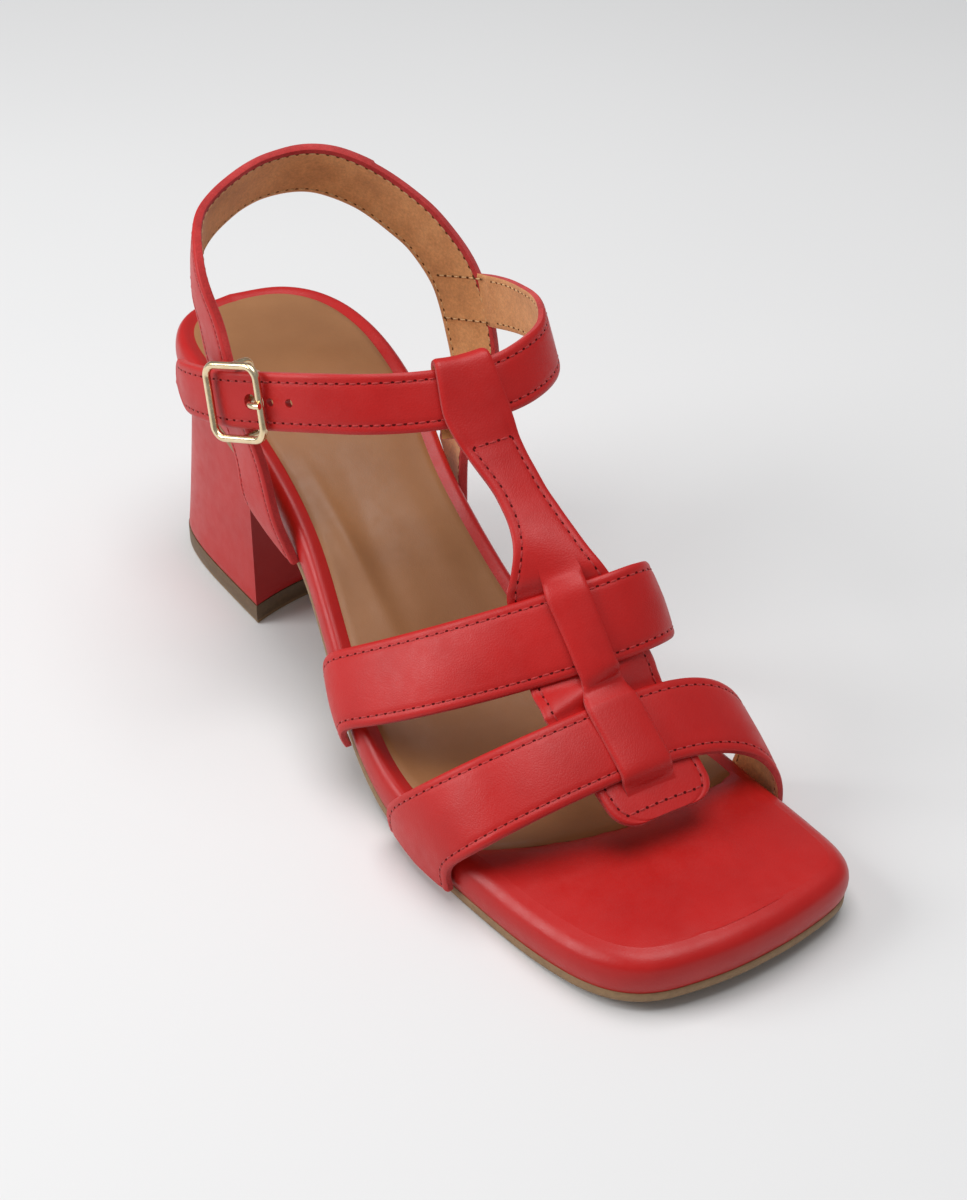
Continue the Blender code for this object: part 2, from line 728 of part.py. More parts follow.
def wire(name, collection, points, radius, cyclic, look=None):
    """Round wire along points, as a closed mesh."""
    curve = bpy.data.curves.new(name, "CURVE")
    curve.dimensions = "3D"
    curve.bevel_depth = radius * MM
    curve.bevel_resolution = 2
    curve.use_fill_caps = True
    spline = curve.splines.new("POLY")
    spline.points.add(len(points) - 1)
    for knot, point in zip(spline.points, points):
        knot.co = (*(np.array(point) * MM), 1.0)
    spline.use_cyclic_u = cyclic
    drawn = bpy.data.objects.new(name + "_line", curve)
    collection.objects.link(drawn)
    graph = bpy.context.evaluated_depsgraph_get()
    mesh = bpy.data.meshes.new_from_object(drawn.evaluated_get(graph))
    bpy.data.objects.remove(drawn)
    shape = bmesh.new()
    shape.from_mesh(mesh)
    bmesh.ops.remove_doubles(shape, verts=shape.verts, dist=1e-6)
    bmesh.ops.recalc_face_normals(shape, faces=shape.faces)
    shape.to_mesh(mesh)
    shape.free()
    mesh.name = name
    mesh.shade_smooth()
    return new_object(name, mesh, collection, look)


def make_buckle(parts, forms, gold):
    """Flat frame over the strap, a bar from its sides round under it, and a prong with an eye on the bar."""
    loop = []
    for turn, (sign_a, sign_o) in enumerate(((1, 1), (-1, 1), (-1, -1), (1, -1))):
        for step in np.linspace(0.0, math.pi / 2, 5):
            angle = turn * math.pi / 2 + step
            end = BUCKLE_REAR if sign_a > 0 else BUCKLE_FRONT
            along = end - sign_a * BUCKLE_CORNER + BUCKLE_CORNER * math.cos(angle)
            over = sign_o * (BUCKLE_HALF_HEIGHT - BUCKLE_CORNER) + BUCKLE_CORNER * math.sin(angle)
            loop.append(at_buckle(along, BUCKLE_OUT, over))
    frame = wire("buckle_frame", parts, loop, BUCKLE_WIRE, True, gold)
    bar_form = wire("buckle_bar_form", forms, [at_buckle(0.0, *row) for row in BAR], BAR_WIRE, False)
    hide_form(bar_form)
    combine(frame, bar_form, "UNION")

    eye = BAR_WIRE + GAP + PRONG_WIRE
    ring = []
    for angle in np.linspace(0.0, 2 * math.pi, 16, endpoint=False):
        ring.append(at_buckle(eye * math.cos(angle), BAR_OUT + eye * math.sin(angle)))
    prong = wire("buckle_prong", parts, [at_buckle(*row) for row in curve_through(PRONG, 14)],
                 PRONG_WIRE, False, gold)
    eye_form = wire("prong_eye_form", forms, ring, PRONG_WIRE, True)
    hide_form(eye_form)
    combine(prong, eye_form, "UNION")
    return frame, prong


def make_elastic(parts, forms, beige):
    """Elastic tab from inside the sling, folded round the buckle's bar, with a notch for the prong."""
    fold = BAR_WIRE + GAP + ELASTIC_THICK / 2
    centre, forward, outward, across = strap_station(0.0)
    start = np.array(ELASTIC_SEAM)
    start = start - ((start - centre) @ across) * across
    route = [start]
    for angle in np.linspace(-math.pi / 2, -3 * math.pi / 2, 9):
        route.append(at_buckle(fold * math.cos(angle), BAR_OUT + fold * math.sin(angle)))
    route.append(at_buckle(ELASTIC_END[0], BAR_OUT + ELASTIC_END[1]))
    grid = np.array([[point + v * ELASTIC_WIDTH / 2 * across for v in (-1.0, 1.0)] for point in route])
    elastic = new_object("elastic_tab", sheet_mesh("elastic_tab", grid), parts, beige)
    thicken(elastic, ELASTIC_THICK, 0.0)

    shape = bmesh.new()
    bmesh.ops.create_cube(shape, size=1.0)
    for vert in shape.verts:
        along, out, over = np.array(vert.co) * np.array(ELASTIC_NOTCH)
        vert.co = at_buckle(along, BAR_OUT + out, over)
    notch = new_object("elastic_notch", finish_mesh("elastic_notch", shape), forms)
    hide_form(notch)
    combine(elastic, notch, "DIFFERENCE")
    return elastic


def punch_strap(upper, forms):
    """Round holes through the ankle strap: one for the prong, and spare ones ahead of the buckle."""
    holes = [("prong_hole", PRONG_HOLE_AT, PRONG_HOLE_RADIUS)]
    holes += [(f"spare_hole_{n}", PRONG_HOLE_AT - n * HOLE_PITCH, HOLE_RADIUS)
              for n in HOLES_AHEAD]
    for name, along, radius in holes:
        centre, forward, outward, across = strap_station(along)
        shape = bmesh.new()
        bmesh.ops.create_cone(shape, cap_ends=True, segments=12, radius1=radius, radius2=radius,
                              depth=3 * LEATHER)
        for vert in shape.verts:
            x, y, z = vert.co
            vert.co = centre + x * forward + y * across + z * outward
        punch = new_object(name, finish_mesh(name, shape), forms)
        hide_form(punch)
        combine(upper, punch, "DIFFERENCE", "MANIFOLD")


def clear_scene():
    for item in list(bpy.data.objects):
        bpy.data.objects.remove(item, do_unlink=True)


def main():
    clear_scene()
    parts = bpy.data.collections.new("heeled_sandal")
    forms = bpy.data.collections.new("heeled_sandal_forms")
    bpy.context.scene.collection.children.link(parts)
    bpy.context.scene.collection.children.link(forms)
    red = material("red_leather", (0.52, 0.020, 0.022), 0.42)
    tan = material("tan_sock_leather", (0.30, 0.17, 0.085), 0.5)
    brown = material("brown_sole", (0.20, 0.105, 0.045), 0.55)
    gold = material("pale_gold", (0.75, 0.58, 0.33), 0.25, 1.0)
    beige = material("beige_elastic", (0.55, 0.42, 0.31), 0.7)

    made = [make_outsole(parts, brown)]
    made += make_footbed_and_sock(parts, forms, red, tan)
    made += make_heel(parts, red, brown)
    made.append(make_upper(parts, forms, red))
    made += make_buckle(parts, forms, gold)
    made.append(make_elastic(parts, forms, beige))

    root = bpy.data.objects.new("sandal_root", None)
    parts.objects.link(root)
    root.location = (-MID_X * MM, -MID_Y * MM, 0.0)
    for item in made + list(forms.objects):
        item.parent = root


main()
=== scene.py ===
import math

import bmesh
import bpy
import numpy as np
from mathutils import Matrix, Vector, noise
from numpy.linalg import norm


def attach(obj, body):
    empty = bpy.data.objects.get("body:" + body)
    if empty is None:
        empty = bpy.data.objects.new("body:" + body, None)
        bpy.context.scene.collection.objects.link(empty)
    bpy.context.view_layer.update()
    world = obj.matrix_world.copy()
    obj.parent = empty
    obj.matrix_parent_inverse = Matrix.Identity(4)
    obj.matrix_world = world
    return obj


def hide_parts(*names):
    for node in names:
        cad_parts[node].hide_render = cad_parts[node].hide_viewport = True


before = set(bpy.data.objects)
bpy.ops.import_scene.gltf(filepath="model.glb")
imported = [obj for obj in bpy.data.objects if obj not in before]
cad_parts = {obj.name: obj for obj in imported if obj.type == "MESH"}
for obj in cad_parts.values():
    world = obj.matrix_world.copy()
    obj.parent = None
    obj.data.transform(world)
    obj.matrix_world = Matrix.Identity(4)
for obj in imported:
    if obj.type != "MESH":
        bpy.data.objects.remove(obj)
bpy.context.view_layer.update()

scene = bpy.context.scene

# Sizes are in millimetres in the shoe's own frame: x from the heel to the toe, y to the medial side,
# z up. MID is the middle of the shoe's box, which sits over the origin.
MM = 0.001
MID = np.array([116.95, 1.25, 0.0])
LEATHER = 2.0

OUTLINE = (
    # x, lateral, medial
    (-4.5, 0, 0), (-1.5, 14.5, 15.3), (8.5, 23.5, 25.2), (26, 27, 29.2), (55, 27, 28),
    (85, 28.5, 22.2), (115, 35.5, 23), (130, 38.6, 27), (145, 40.3, 32.5),
    (170, 40.5, 38.6), (192, 38.6, 40.4), (212, 35.6, 40.4), (226, 30.8, 38.6),
    (234, 22.5, 32.6), (237.8, 7, 15.5),
)
TOE_TIP = (238.4, 2.5)
ARCH = (
    # x, underside
    (-5, 59.6), (30, 56.6), (60, 48), (85, 35.8), (110, 20), (132, 6.5), (150, 1.2),
    (164, 0), (194, 0), (214, 1), (240, 4.5),
)
SOLE_ROWS = 180
OUTSOLE_THICK = 3.0
FOOTBED_WALL = (
    # inset from the outline, height over the outsole, height ahead of the sock
    (1.3, -0.7, -0.7), (0.75, 0.9, 0.9), (0.45, 3.0, 2.8), (0.5, 5.2, 4.7), (1.1, 7.7, 6.7), (2.3, 9.2, 8.1),
    (3.6, 9.35, 8.95), (5.6, 8.7, 9.65),
)
GLUE_LINE = 0.3
FOOTBED_BASE = OUTSOLE_THICK + GLUE_LINE
FOOTBED_CROWN = 9.0
SOCK_INSET = 5.6
SOCK_FRONT_X, SOCK_FRONT_Y, SOCK_FRONT_RADIUS = 191.5, 13.0, 84.0

LIFT_THICK = 5.7
HEEL_FLOOR = (-3.5, 53.5, 25.8)
HEEL_TOP = (4.0, 47.5, 22.5)
HEEL_SQUARENESS = 4.6
HEEL_FLARE = 0.85
BREAST_HOLLOW = (5.0, 3.5)

SECTIONS = np.array((
    # ridge x, y, z; lateral rim x, reach, fullness; medial rim x, reach, fullness
    (118.2, 5, 95.8, 84, 30, 2.8, 88, 36, 2.8),
    (141.5, 5, 78.6, 98, 34, 2.3, 106, 35, 2.9),
    (164, 16, 66, 111, 38, 1.45, 121, 34.5, 3.2),
    (175.5, 14, 49, 127.5, 43.5, 1.56, 131, 36.5, 3.2),
    (178, 0, 41.8, 151.6, 44, 2.55, 180, 46.5, 2.7),
    (193.5, -2, 31.5, 178, 43.5, 2.4, 199.5, 43, 2.2),
    (202.5, -1, 25, 187, 43, 2.4, 208, 42, 2.2),
))
TIP = 6
RIM_OVER_SOLE = 11.0
STRAP_OUTSIDE_SOLE = 2.0

TBAR = (
    # section, half width, sideways place of its middle
    (0, 7.6, 3.6), (0.5, 7.4, 3.6), (0.9, 6.6, 4.7), (1.1, 6.9, 4.7), (1.3, 7.5, 4.3), (1.5, 8.3, 3.6),
    (1.75, 9.7, 2.8), (2, 11.1, 2.6), (3, 14.8, 3.3), (3.7, 16.6, 3.5), (4, 16.6, 4.1),
    (5, 14.8, 4.8),
)
TAB_ROUNDING, TAB_END_SHARE, TAB_TAPER = 0.55, 0.55, 0.06
STRIP_Y = 3.4
TBAR_LIFT = (
    # section, height of the T-bar over the last, height and half width of the strip slit from its middle
    (0.5, -1.2, -1.2, 4.4), (1.2, -1.2, -1.2, 4.4), (1.5, -0.75, -1.05, 4.4), (1.66, -0.65, -0.65, 4.4),
    (1.86, -0.6, -0.55, 4.4), (1.93, -1.1, 0.35, 4.4), (2, -2, 1.6, 4.4), (2.1, -2, 1.75, 4.4),
    (2.9, -2, 1.75, 4.4), (3.05, -1.95, 1.55, 4.6), (3.24, -1.85, -0.3, 4.9),
    (3.4, -1.8, -1.25, 5.2), (3.58, -1.8, -1.25, 5.8), (3.76, -1.85, -0.3, 6.3), (3.95, -1.95, 1.55, 6.8),
    (4.1, -2, 1.75, 6.9), (4.9, -2, 1.75, 6.9), (5.05, -1.95, 1.5, 6.9),
    (5.18, -1.85, -0.35, 6.9), (5.29, -1.7, -1.45, 6.9), (5.4, -1.6, -1.75, 6.9),
    (5.52, -1.5, -1.95, 6.9), (6, -1.3, -1.75, 6.9),
)
STRIP_ENDS = (1.50, 5.52)

CORE_BACK, CORE_FRONT, CORE_Y = 55.0, 88.0, 2.0
SLING_WIDTH = 17.0
SLING_BACK = (25.0, 4.0, 118.2, 29.0, 0.0, 0.0)
SLING_LATERAL = (
    # x, y, z, lean, skew, turn towards the heel
    (27.6, 9.8, 117.2, 25, 0, 0), (34.2, 24.3, 112.4, 12, 0, 0),
    (45, 31.2, 104.6, 6, 0, 6), (53.5, 32.5, 95, 3, 0, 8),
    (63.3, 33.6, 79, 0, 0, 6), (70, 32.4, 64.5, 0, 14, 3),
)
SLING_MEDIAL = (
    (28.2, 15.2, 117.4, 26, 0, 0), (34.4, 25.4, 112.4, 19, 0, 0),
    (42, 32.6, 105.6, 12, 0, 10), (48, 36.7, 99.8, 8, 0, 15),
    (54.6, 40.6, 89.8, 0, 0, 20), (60.5, 41.4, 77, 0, 0, 21),
    (67, 38.6, 65, 0, 10, 14),
)
SLING_FOOT_X, SLING_OUTSIDE_SOLE, SLING_FOOT_RISE, SLING_FOOT_SKEW = 75.5, 2.6, 0.6, 40.0
SLING_FOOT_TURN = {-1: 3.0, 1: -12.0}
SLING_WALL, SLING_WALL_SKEW = (1.8, 1.9, 8.0), 31.5

ANKLE_WIDTH = 14.4
ANKLE = (
    # x, y, z, lean
    (51, 38.4, 83.4, 0), (66, 43, 87, 0), (81.5, 42.6, 91.4, 4), (98, 38.6, 95.4, 10),
    (111.5, 31, 96.3, 20), (118.4, 18, 96.2, 32), (118, 4.5, 95, 38), (115, -8, 95.2, 34),
    (108, -19, 94.5, 24), (97, -28, 92.4, 12), (84, -34.5, 88.8, 5), (72, -39.2, 85.4, 2),
    (58, -41, 81.6, 0), (47, -39.5, 78.6, 0),
)
ANKLE_ROWS = [row + (0.0, 0.0) for row in ANKLE]
LOOP_AT = 6
STRAP_TIP, TIP_END_SHARE = 6.0, 0.16
LATERAL_LIMIT_Y = -12.0

BUCKLE_X, BUCKLE_FRONT, BUCKLE_REAR = 78.5, -7.5, 9.0
BUCKLE_HALF_HEIGHT, BUCKLE_CORNER, BUCKLE_WIRE, BUCKLE_OUT = 9.3, 3.2, 1.0, 2.4
BAR_WIRE, BAR_OUT = 0.9, -4.3
BAR_HALF = ((2.4, 9.3), (-2.6, 9.3), (-3.8, 8.8), (-4.3, 7.6))
BAR = BAR_HALF + tuple((out, -over) for out, over in BAR_HALF[::-1])
PRONG_WIRE = 0.8
PRONG = ((-1.5, -2.9), (-2.3, -2.0), (-3.2, 0.0), (-4.2, 2.2), (-5.6, 3.8), (-7.5, 4.5), (-9.2, 4.4))
ELASTIC_WIDTH, ELASTIC_THICK = 12.0, 0.8
ELASTIC_SEAM = (63.0, -31.2, 84.0)
ELASTIC_END = (2.4, 0.6)
PRONG_HOLE_AT, PRONG_HOLE_RADIUS, HOLE_RADIUS, HOLE_PITCH = -3.2, 2.5, 1.1, 6.1
HOLES_AHEAD = (1, 2)

STITCH_IN, STITCH_PITCH = 2.2, 2.7
SPAN_STEPS, ANKLE_STATIONS = 24, 900
OUTLINE_EASE, WALL_POWER = 2.0, 1.5
LIFT_SHIFTS = (-0.06, -0.03, 0.0, 0.03, 0.06)


# Curves and the last

def smooth_rows(rows):
    """Function giving a row at any x, by a monotone cubic through the rows' first column."""
    table = np.array(rows, dtype=float)
    xs, values = table[:, 0], table[:, 1:]
    slopes = np.diff(values, axis=0) / np.diff(xs)[:, None]
    tangents = np.zeros_like(values)
    tangents[0], tangents[-1] = slopes[0], slopes[-1]
    for i in range(1, len(xs) - 1):
        same = slopes[i - 1] * slopes[i] > 0
        total = np.where(same, slopes[i - 1] + slopes[i], 1.0)
        tangents[i] = np.where(same, 2 * slopes[i - 1] * slopes[i] / total, 0.0)

    def row_at(x):
        i = int(np.clip(np.searchsorted(xs, x) - 1, 0, len(xs) - 2))
        h = xs[i + 1] - xs[i]
        t = float(np.clip((x - xs[i]) / h, 0.0, 1.0))
        ease = t * t * (3 - 2 * t)
        return (values[i] * (1 - ease) + values[i + 1] * ease
                + h * (t * (1 - t) ** 2 * tangents[i] - t * t * (1 - t) * tangents[i + 1]))

    return row_at


def run_length(line):
    """Length along a line at each of its points."""
    return np.concatenate([[0.0], np.cumsum(norm(np.diff(line, axis=0), axis=1))])


def sample(rows, run, places):
    """Rows read at places along a run."""
    return np.stack([np.interp(places, run, column) for column in np.asarray(rows).T], axis=1)


def resample(line, count, columns=None):
    """The line with its points evenly spaced, as measured in its first columns."""
    run = run_length(np.asarray(line)[:, :columns])
    return sample(line, run, np.linspace(0.0, run[-1], count))


def unit(rows):
    """Rows scaled to length one."""
    return rows / norm(rows, axis=-1, keepdims=True)


def curve_through(points, count):
    """Smooth open curve through the rows, its points evenly spaced in the first two columns."""
    rows = np.array(points, dtype=float)
    ends = np.vstack([2 * rows[0] - rows[1], rows, 2 * rows[-1] - rows[-2]])
    fine = []
    for i in range(1, len(ends) - 2):
        before, start, end, after = ends[i - 1:i + 3]
        for t in np.linspace(0.0, 1.0, SPAN_STEPS, endpoint=False):
            fine.append(0.5 * (2 * start + (end - before) * t
                               + (2 * before - 5 * start + 4 * end - after) * t ** 2
                               + (3 * start - before - 3 * end + after) * t ** 3))
    fine.append(ends[-2])
    return resample(np.array(fine), count, 2)


def soften(grid, reach):
    """Gaussian smoothing along the first axis that keeps both ends."""
    grid = np.asarray(grid, dtype=float)
    size = min(int(3 * reach) + 1, len(grid) - 1)
    kernel = np.exp(-0.5 * (np.arange(-size, size + 1) / reach) ** 2)
    kernel /= kernel.sum()
    head = 2 * grid[:1] - grid[size:0:-1]
    tail = 2 * grid[-1:] - grid[-2:-size - 2:-1]
    padded = np.concatenate([head, grid, tail])
    out = np.zeros_like(grid)
    for k, weight in enumerate(kernel):
        out += weight * padded[k:k + len(grid)]
    return out


def step(value, low, high):
    """Smooth step from 0 at low to 1 at high."""
    t = np.clip((value - low) / (high - low), 0.0, 1.0)
    return t * t * (3 - 2 * t)


def bell(value, middle, reach):
    """Hump of height 1 at its middle."""
    return np.exp(-((value - middle) / reach) ** 2)


arch_row = smooth_rows(ARCH)
edge_row = smooth_rows(OUTLINE)
tbar_row = smooth_rows(TBAR)
sharp_lift = smooth_rows(TBAR_LIFT)


def lift_row(section):
    """A row of the T-bar's heights, with its bends eased."""
    return sum(sharp_lift(section + shift) for shift in LIFT_SHIFTS) / len(LIFT_SHIFTS)


def sole_z(x):
    return float(arch_row(x)[0])


def sole_edge(x, side):
    lateral, medial = edge_row(x)
    return medial if side > 0 else -lateral


def outline_side(side, inset):
    """One side of the outline from heel to toe, moved in from the edge."""
    points = [(x, side * (medial if side > 0 else lateral)) for x, lateral, medial in OUTLINE]
    points.append(TOE_TIP)
    line = soften(curve_through(points, SOLE_ROWS + 1), OUTLINE_EASE)
    ahead = np.gradient(line, axis=0)
    ahead[0] = (0.0, side)
    ahead[-1] = (0.0, -side)
    ahead = unit(ahead)
    inward = side * np.stack([ahead[:, 1], -ahead[:, 0]], axis=1)
    return line + inset * inward


def sole_heights(grid):
    """Height of the sole's underside at each point of a grid."""
    return np.array([[sole_z(x) for x in rung] for rung in grid[:, :, 0]])


def sole_grid(inset, height, columns):
    """Rungs across the sole from its lateral edge, at a height over the underside."""
    lateral, medial = outline_side(-1, inset), outline_side(1, inset)
    across = columns[None, :, None]
    grid = lateral[:, None, :] * (1 - across) + medial[:, None, :] * across
    return np.dstack([grid, sole_heights(grid) + height])


def section_row(section):
    i = int(np.clip(math.floor(section), 0, len(SECTIONS) - 2))
    return SECTIONS[i] + (SECTIONS[i + 1] - SECTIONS[i]) * (section - i)


def arch_point(section, side, share):
    """Point of the last: share 0 is the ridge, 1 the rim on that side, past 1 down the sole's wall."""
    row = section_row(section)
    rim_x, reach, fullness = row[3:6] if side < 0 else row[6:9]
    rim_z = sole_z(rim_x) + RIM_OVER_SOLE
    if share <= 1.0:
        angle = share * math.pi / 2
        rise = max(math.cos(angle), 0.0) ** (2 / fullness)
        width = math.sin(angle) ** (2 / fullness)
        return np.array([rim_x + (row[0] - rim_x) * rise, row[1] + (side * reach - row[1]) * width,
                         rim_z + (row[2] - rim_z) * rise])
    down = share - 1.0
    foot_y = sole_edge(rim_x, side) + side * STRAP_OUTSIDE_SOLE
    foot_z = sole_z(rim_x) + FOOTBED_BASE
    return np.array([rim_x, side * reach + (foot_y - side * reach) * down ** WALL_POWER,
                     rim_z + (foot_z - rim_z) * down])


def last_point(section, y):
    """Point of the last's top over a sideways place y."""
    row = section_row(section)
    side = 1 if y > row[1] else -1
    reach, fullness = row[4:6] if side < 0 else row[7:9]
    width = abs(y - row[1]) / abs(side * reach - row[1])
    share = 2 / math.pi * math.asin(min(width, 1.0) ** (fullness / 2))
    return arch_point(section, side, share)


def band_frames(rows, count):
    """Stations along a strap: centre, forward, outward and across directions, and skew.

    Each row is x, y, z, lean, skew and turn towards the heel.
    """
    line = curve_through(rows, count)
    centres = line[:, :3]
    forward = unit(np.gradient(centres, axis=0))
    outward = np.zeros_like(centres)
    outward[:, 0] = centres[:, 0] - np.clip(centres[:, 0], CORE_BACK, CORE_FRONT)
    outward[:, 1] = centres[:, 1] - CORE_Y
    outward = unit(outward)
    outward[:, 0] -= np.tan(np.radians(line[:, 5]))
    outward = unit(outward)
    outward[:, 2] = np.tan(np.radians(line[:, 3]))
    outward -= (outward * forward).sum(1)[:, None] * forward
    outward = unit(outward)
    return centres, forward, outward, np.cross(forward, outward), np.radians(line[:, 4])


def band_edges(rows, count, width, tip=0.0):
    """Two edges of a strap of even width, with a rounded tip of a given length."""
    centres, forward, outward, across, skew = band_frames(rows, count)
    run = run_length(centres)
    left = run[-1] - run
    half = np.full(count, width / 2)
    if tip:
        near = np.clip(1.0 - left / tip, 0.0, 1.0)
        half *= np.maximum(np.sqrt(1.0 - near ** 2), TIP_END_SHARE)
    line = across * np.cos(skew)[:, None] + forward * np.sin(skew)[:, None]
    reach = (half / np.cos(skew))[:, None] * line
    return np.stack([centres - reach, centres, centres + reach], axis=1)


def sling_rows():
    """Centre line of the sling from the lateral side of the sole, round the back, to the medial side."""
    rows = []
    for side, table in ((-1, SLING_LATERAL), (1, SLING_MEDIAL)):
        foot_y = abs(sole_edge(SLING_FOOT_X, side)) + SLING_OUTSIDE_SOLE
        foot_z = sole_z(SLING_FOOT_X) + OUTSOLE_THICK + SLING_FOOT_RISE
        half = list(table)
        half.append((SLING_FOOT_X - SLING_WALL[0], foot_y + SLING_WALL[1], foot_z + SLING_WALL[2],
                     0.0, SLING_WALL_SKEW, SLING_FOOT_TURN[side] / 2))
        half.append((SLING_FOOT_X, foot_y, foot_z, 0.0, SLING_FOOT_SKEW, SLING_FOOT_TURN[side]))
        half = [(x, side * y, z, lean, side * skew, turn) for x, y, z, lean, skew, turn in half]
        rows += half[::-1] + [SLING_BACK] if side < 0 else half
    return rows


ankle_frames = band_frames(ANKLE_ROWS, ANKLE_STATIONS)
ankle_run = run_length(ankle_frames[0])


def ankle_station(run):
    """Centre and directions of the ankle strap at a length along it."""
    i = int(np.argmin(np.abs(ankle_run - run)))
    return [part[i] for part in ankle_frames[:4]]


lateral_half = np.where(ankle_frames[0][:, 1] < LATERAL_LIMIT_Y)[0]
buckle_run = ankle_run[lateral_half[np.argmin(np.abs(ankle_frames[0][lateral_half, 0] - BUCKLE_X))]]
loop_run = ankle_run[np.argmin(norm(ankle_frames[0] - ANKLE[LOOP_AT][:3], axis=1))]


def at_strap(run, along, out, over):
    """Point along, out of and across the ankle strap from a length along it."""
    centre, forward, outward, across = ankle_station(run)
    return centre + along * forward + out * outward + over * across


def at_buckle(along, out, over=0.0):
    return at_strap(buckle_run, along, out, over)


# Materials

def settle(node, values):
    """Sets a node's inputs by name: sockets are linked, other values are kept."""
    for key, value in values.items():
        if isinstance(value, bpy.types.NodeSocket):
            node.id_data.links.new(value, node.inputs[key])
        else:
            node.inputs[key].default_value = value


def material(name, look, *values, space="Object", **options):
    """New material with its shader set as a look says, over the coordinates of one space."""
    made = bpy.data.materials.new(name)
    made.use_nodes = True
    nodes = made.node_tree.nodes
    coords = nodes.new("ShaderNodeTexCoord").outputs[space]
    settle(nodes["Principled BSDF"], look(coords, *values, **options))
    return made


def add(source, kind, values, **options):
    """Outputs of a new node in a socket's tree; its options come before its inputs."""
    node = source.id_data.nodes.new(kind)
    for key, value in options.items():
        setattr(node, key, value)
    settle(node, values)
    return node.outputs


def noise_node(coords, scale, detail=3.0, rough=0.55):
    values = {"Vector": coords, "Scale": scale, "Detail": detail, "Roughness": rough}
    return add(coords, "ShaderNodeTexNoise", values)["Fac"]


def ramp_node(source, *stops):
    made = add(source, "ShaderNodeValToRGB", {"Fac": source})["Color"]
    elements = made.node.color_ramp.elements
    while len(elements) < len(stops):
        elements.new(0.5)
    for element, (place, colour) in zip(elements, stops):
        element.position = place
        element.color = (*colour, 1.0)
    return made


def range_node(source, low, high, to_low, to_high):
    values = {"Value": source, "From Min": low, "From Max": high, "To Min": to_low, "To Max": to_high}
    return add(source, "ShaderNodeMapRange", values)["Result"]


def bump_node(height, strength, distance, **before):
    values = {"Height": height, "Strength": strength, "Distance": distance, **before}
    return add(height, "ShaderNodeBump", values)["Normal"]


def mix_node(first, second, factor=1.0, blend="MULTIPLY"):
    values = {"Factor": factor, "A": first, "B": second}
    return add(first, "ShaderNodeMix", values, data_type="RGBA", blend_type=blend)["Result"]


def leather(coords, dark, mid, light, rough, grain=0.22, cell=1500.0):
    """Dyed leather: cloudy colour, fine grain cells, pores and uneven gloss."""
    clouds = noise_node(coords, scale=55.0, detail=4.0)
    gloss = noise_node(coords, scale=240.0, detail=4.0)
    cells = add(coords, "ShaderNodeTexVoronoi", {"Vector": coords, "Scale": cell}, feature="DISTANCE_TO_EDGE")
    valley = range_node(cells["Distance"], 0.0, 0.22, 0.0, 1.0)
    bump = bump_node(noise_node(coords, scale=130.0, detail=2.0), strength=0.12, distance=0.0006)
    bump = bump_node(valley, grain, distance=0.00008, Normal=bump)
    bump = bump_node(noise_node(coords, scale=900.0), grain * 0.8, distance=0.00012, Normal=bump)
    return {"Base Color": ramp_node(clouds, (0.28, dark), (0.5, mid), (0.74, light)),
            "Roughness": range_node(gloss, 0.3, 0.7, rough - 0.05, rough + 0.07),
            "Normal": bump, "Specular IOR Level": 0.36}


def napped(coords, dark, mid, light, scale=420.0, strength=0.5, sheen=0.25):
    """Suede lining or a raw cut edge: fibres, blotches and no gloss."""
    blotch = noise_node(coords, scale=90.0, detail=5.0, rough=0.65)
    tint = ramp_node(blotch, (0.3, dark), (0.5, mid), (0.7, light))
    fibre = noise_node(coords, scale * 3, rough=0.7)
    nap = noise_node(coords, scale, detail=6.0, rough=0.7)
    return {"Base Color": mix_node(tint, range_node(fibre, 0.3, 0.7, 0.82, 1.12)),
            "Normal": bump_node(nap, strength, distance=0.0004), "Roughness": 0.9,
            "Specular IOR Level": 0.25, "Sheen Weight": sheen, "Sheen Roughness": 0.6}


def moulded(coords, dark, light, rough, pale=None, pale_height=0.0):
    """Pressed sole sheet: fine speckle, optionally paler towards its lowest edge."""
    speckle = noise_node(coords, scale=700.0, detail=4.0, rough=0.7)
    colour = ramp_node(speckle, (0.3, dark), (0.7, light))
    if pale:
        height = add(coords, "ShaderNodeSeparateXYZ", {"Vector": coords})["Z"]
        low = range_node(height, 0.4 * pale_height, pale_height, 1.0, 0.0)
        colour = mix_node(colour, (*pale, 1.0), low, "MIX")
    grain = bump_node(noise_node(coords, scale=1500.0), strength=0.25, distance=0.0001)
    return {"Base Color": colour, "Roughness": rough, "Normal": grain}


def thread(coords, dark, light, sheen=0.2, gloss=0.5):
    """Twisted thread, or the painted shade inside a needle hole."""
    twist = noise_node(coords, scale=1800.0)
    return {"Base Color": ramp_node(twist, (0.3, dark), (0.7, light)),
            "Normal": bump_node(twist, strength=0.4, distance=0.0001),
            "Roughness": 0.65, "Specular IOR Level": gloss, "Sheen Weight": sheen}


def plated(coords, dark, light):
    """Polished plate with faint rubbing marks."""
    haze = noise_node(coords, scale=500.0, detail=4.0)
    marks = noise_node(coords, scale=1600.0, detail=2.0)
    return {"Base Color": ramp_node(haze, (0.3, dark), (0.7, light)),
            "Roughness": range_node(haze, 0.3, 0.7, 0.16, 0.28),
            "Normal": bump_node(marks, strength=0.06, distance=0.0001), "Metallic": 1.0}


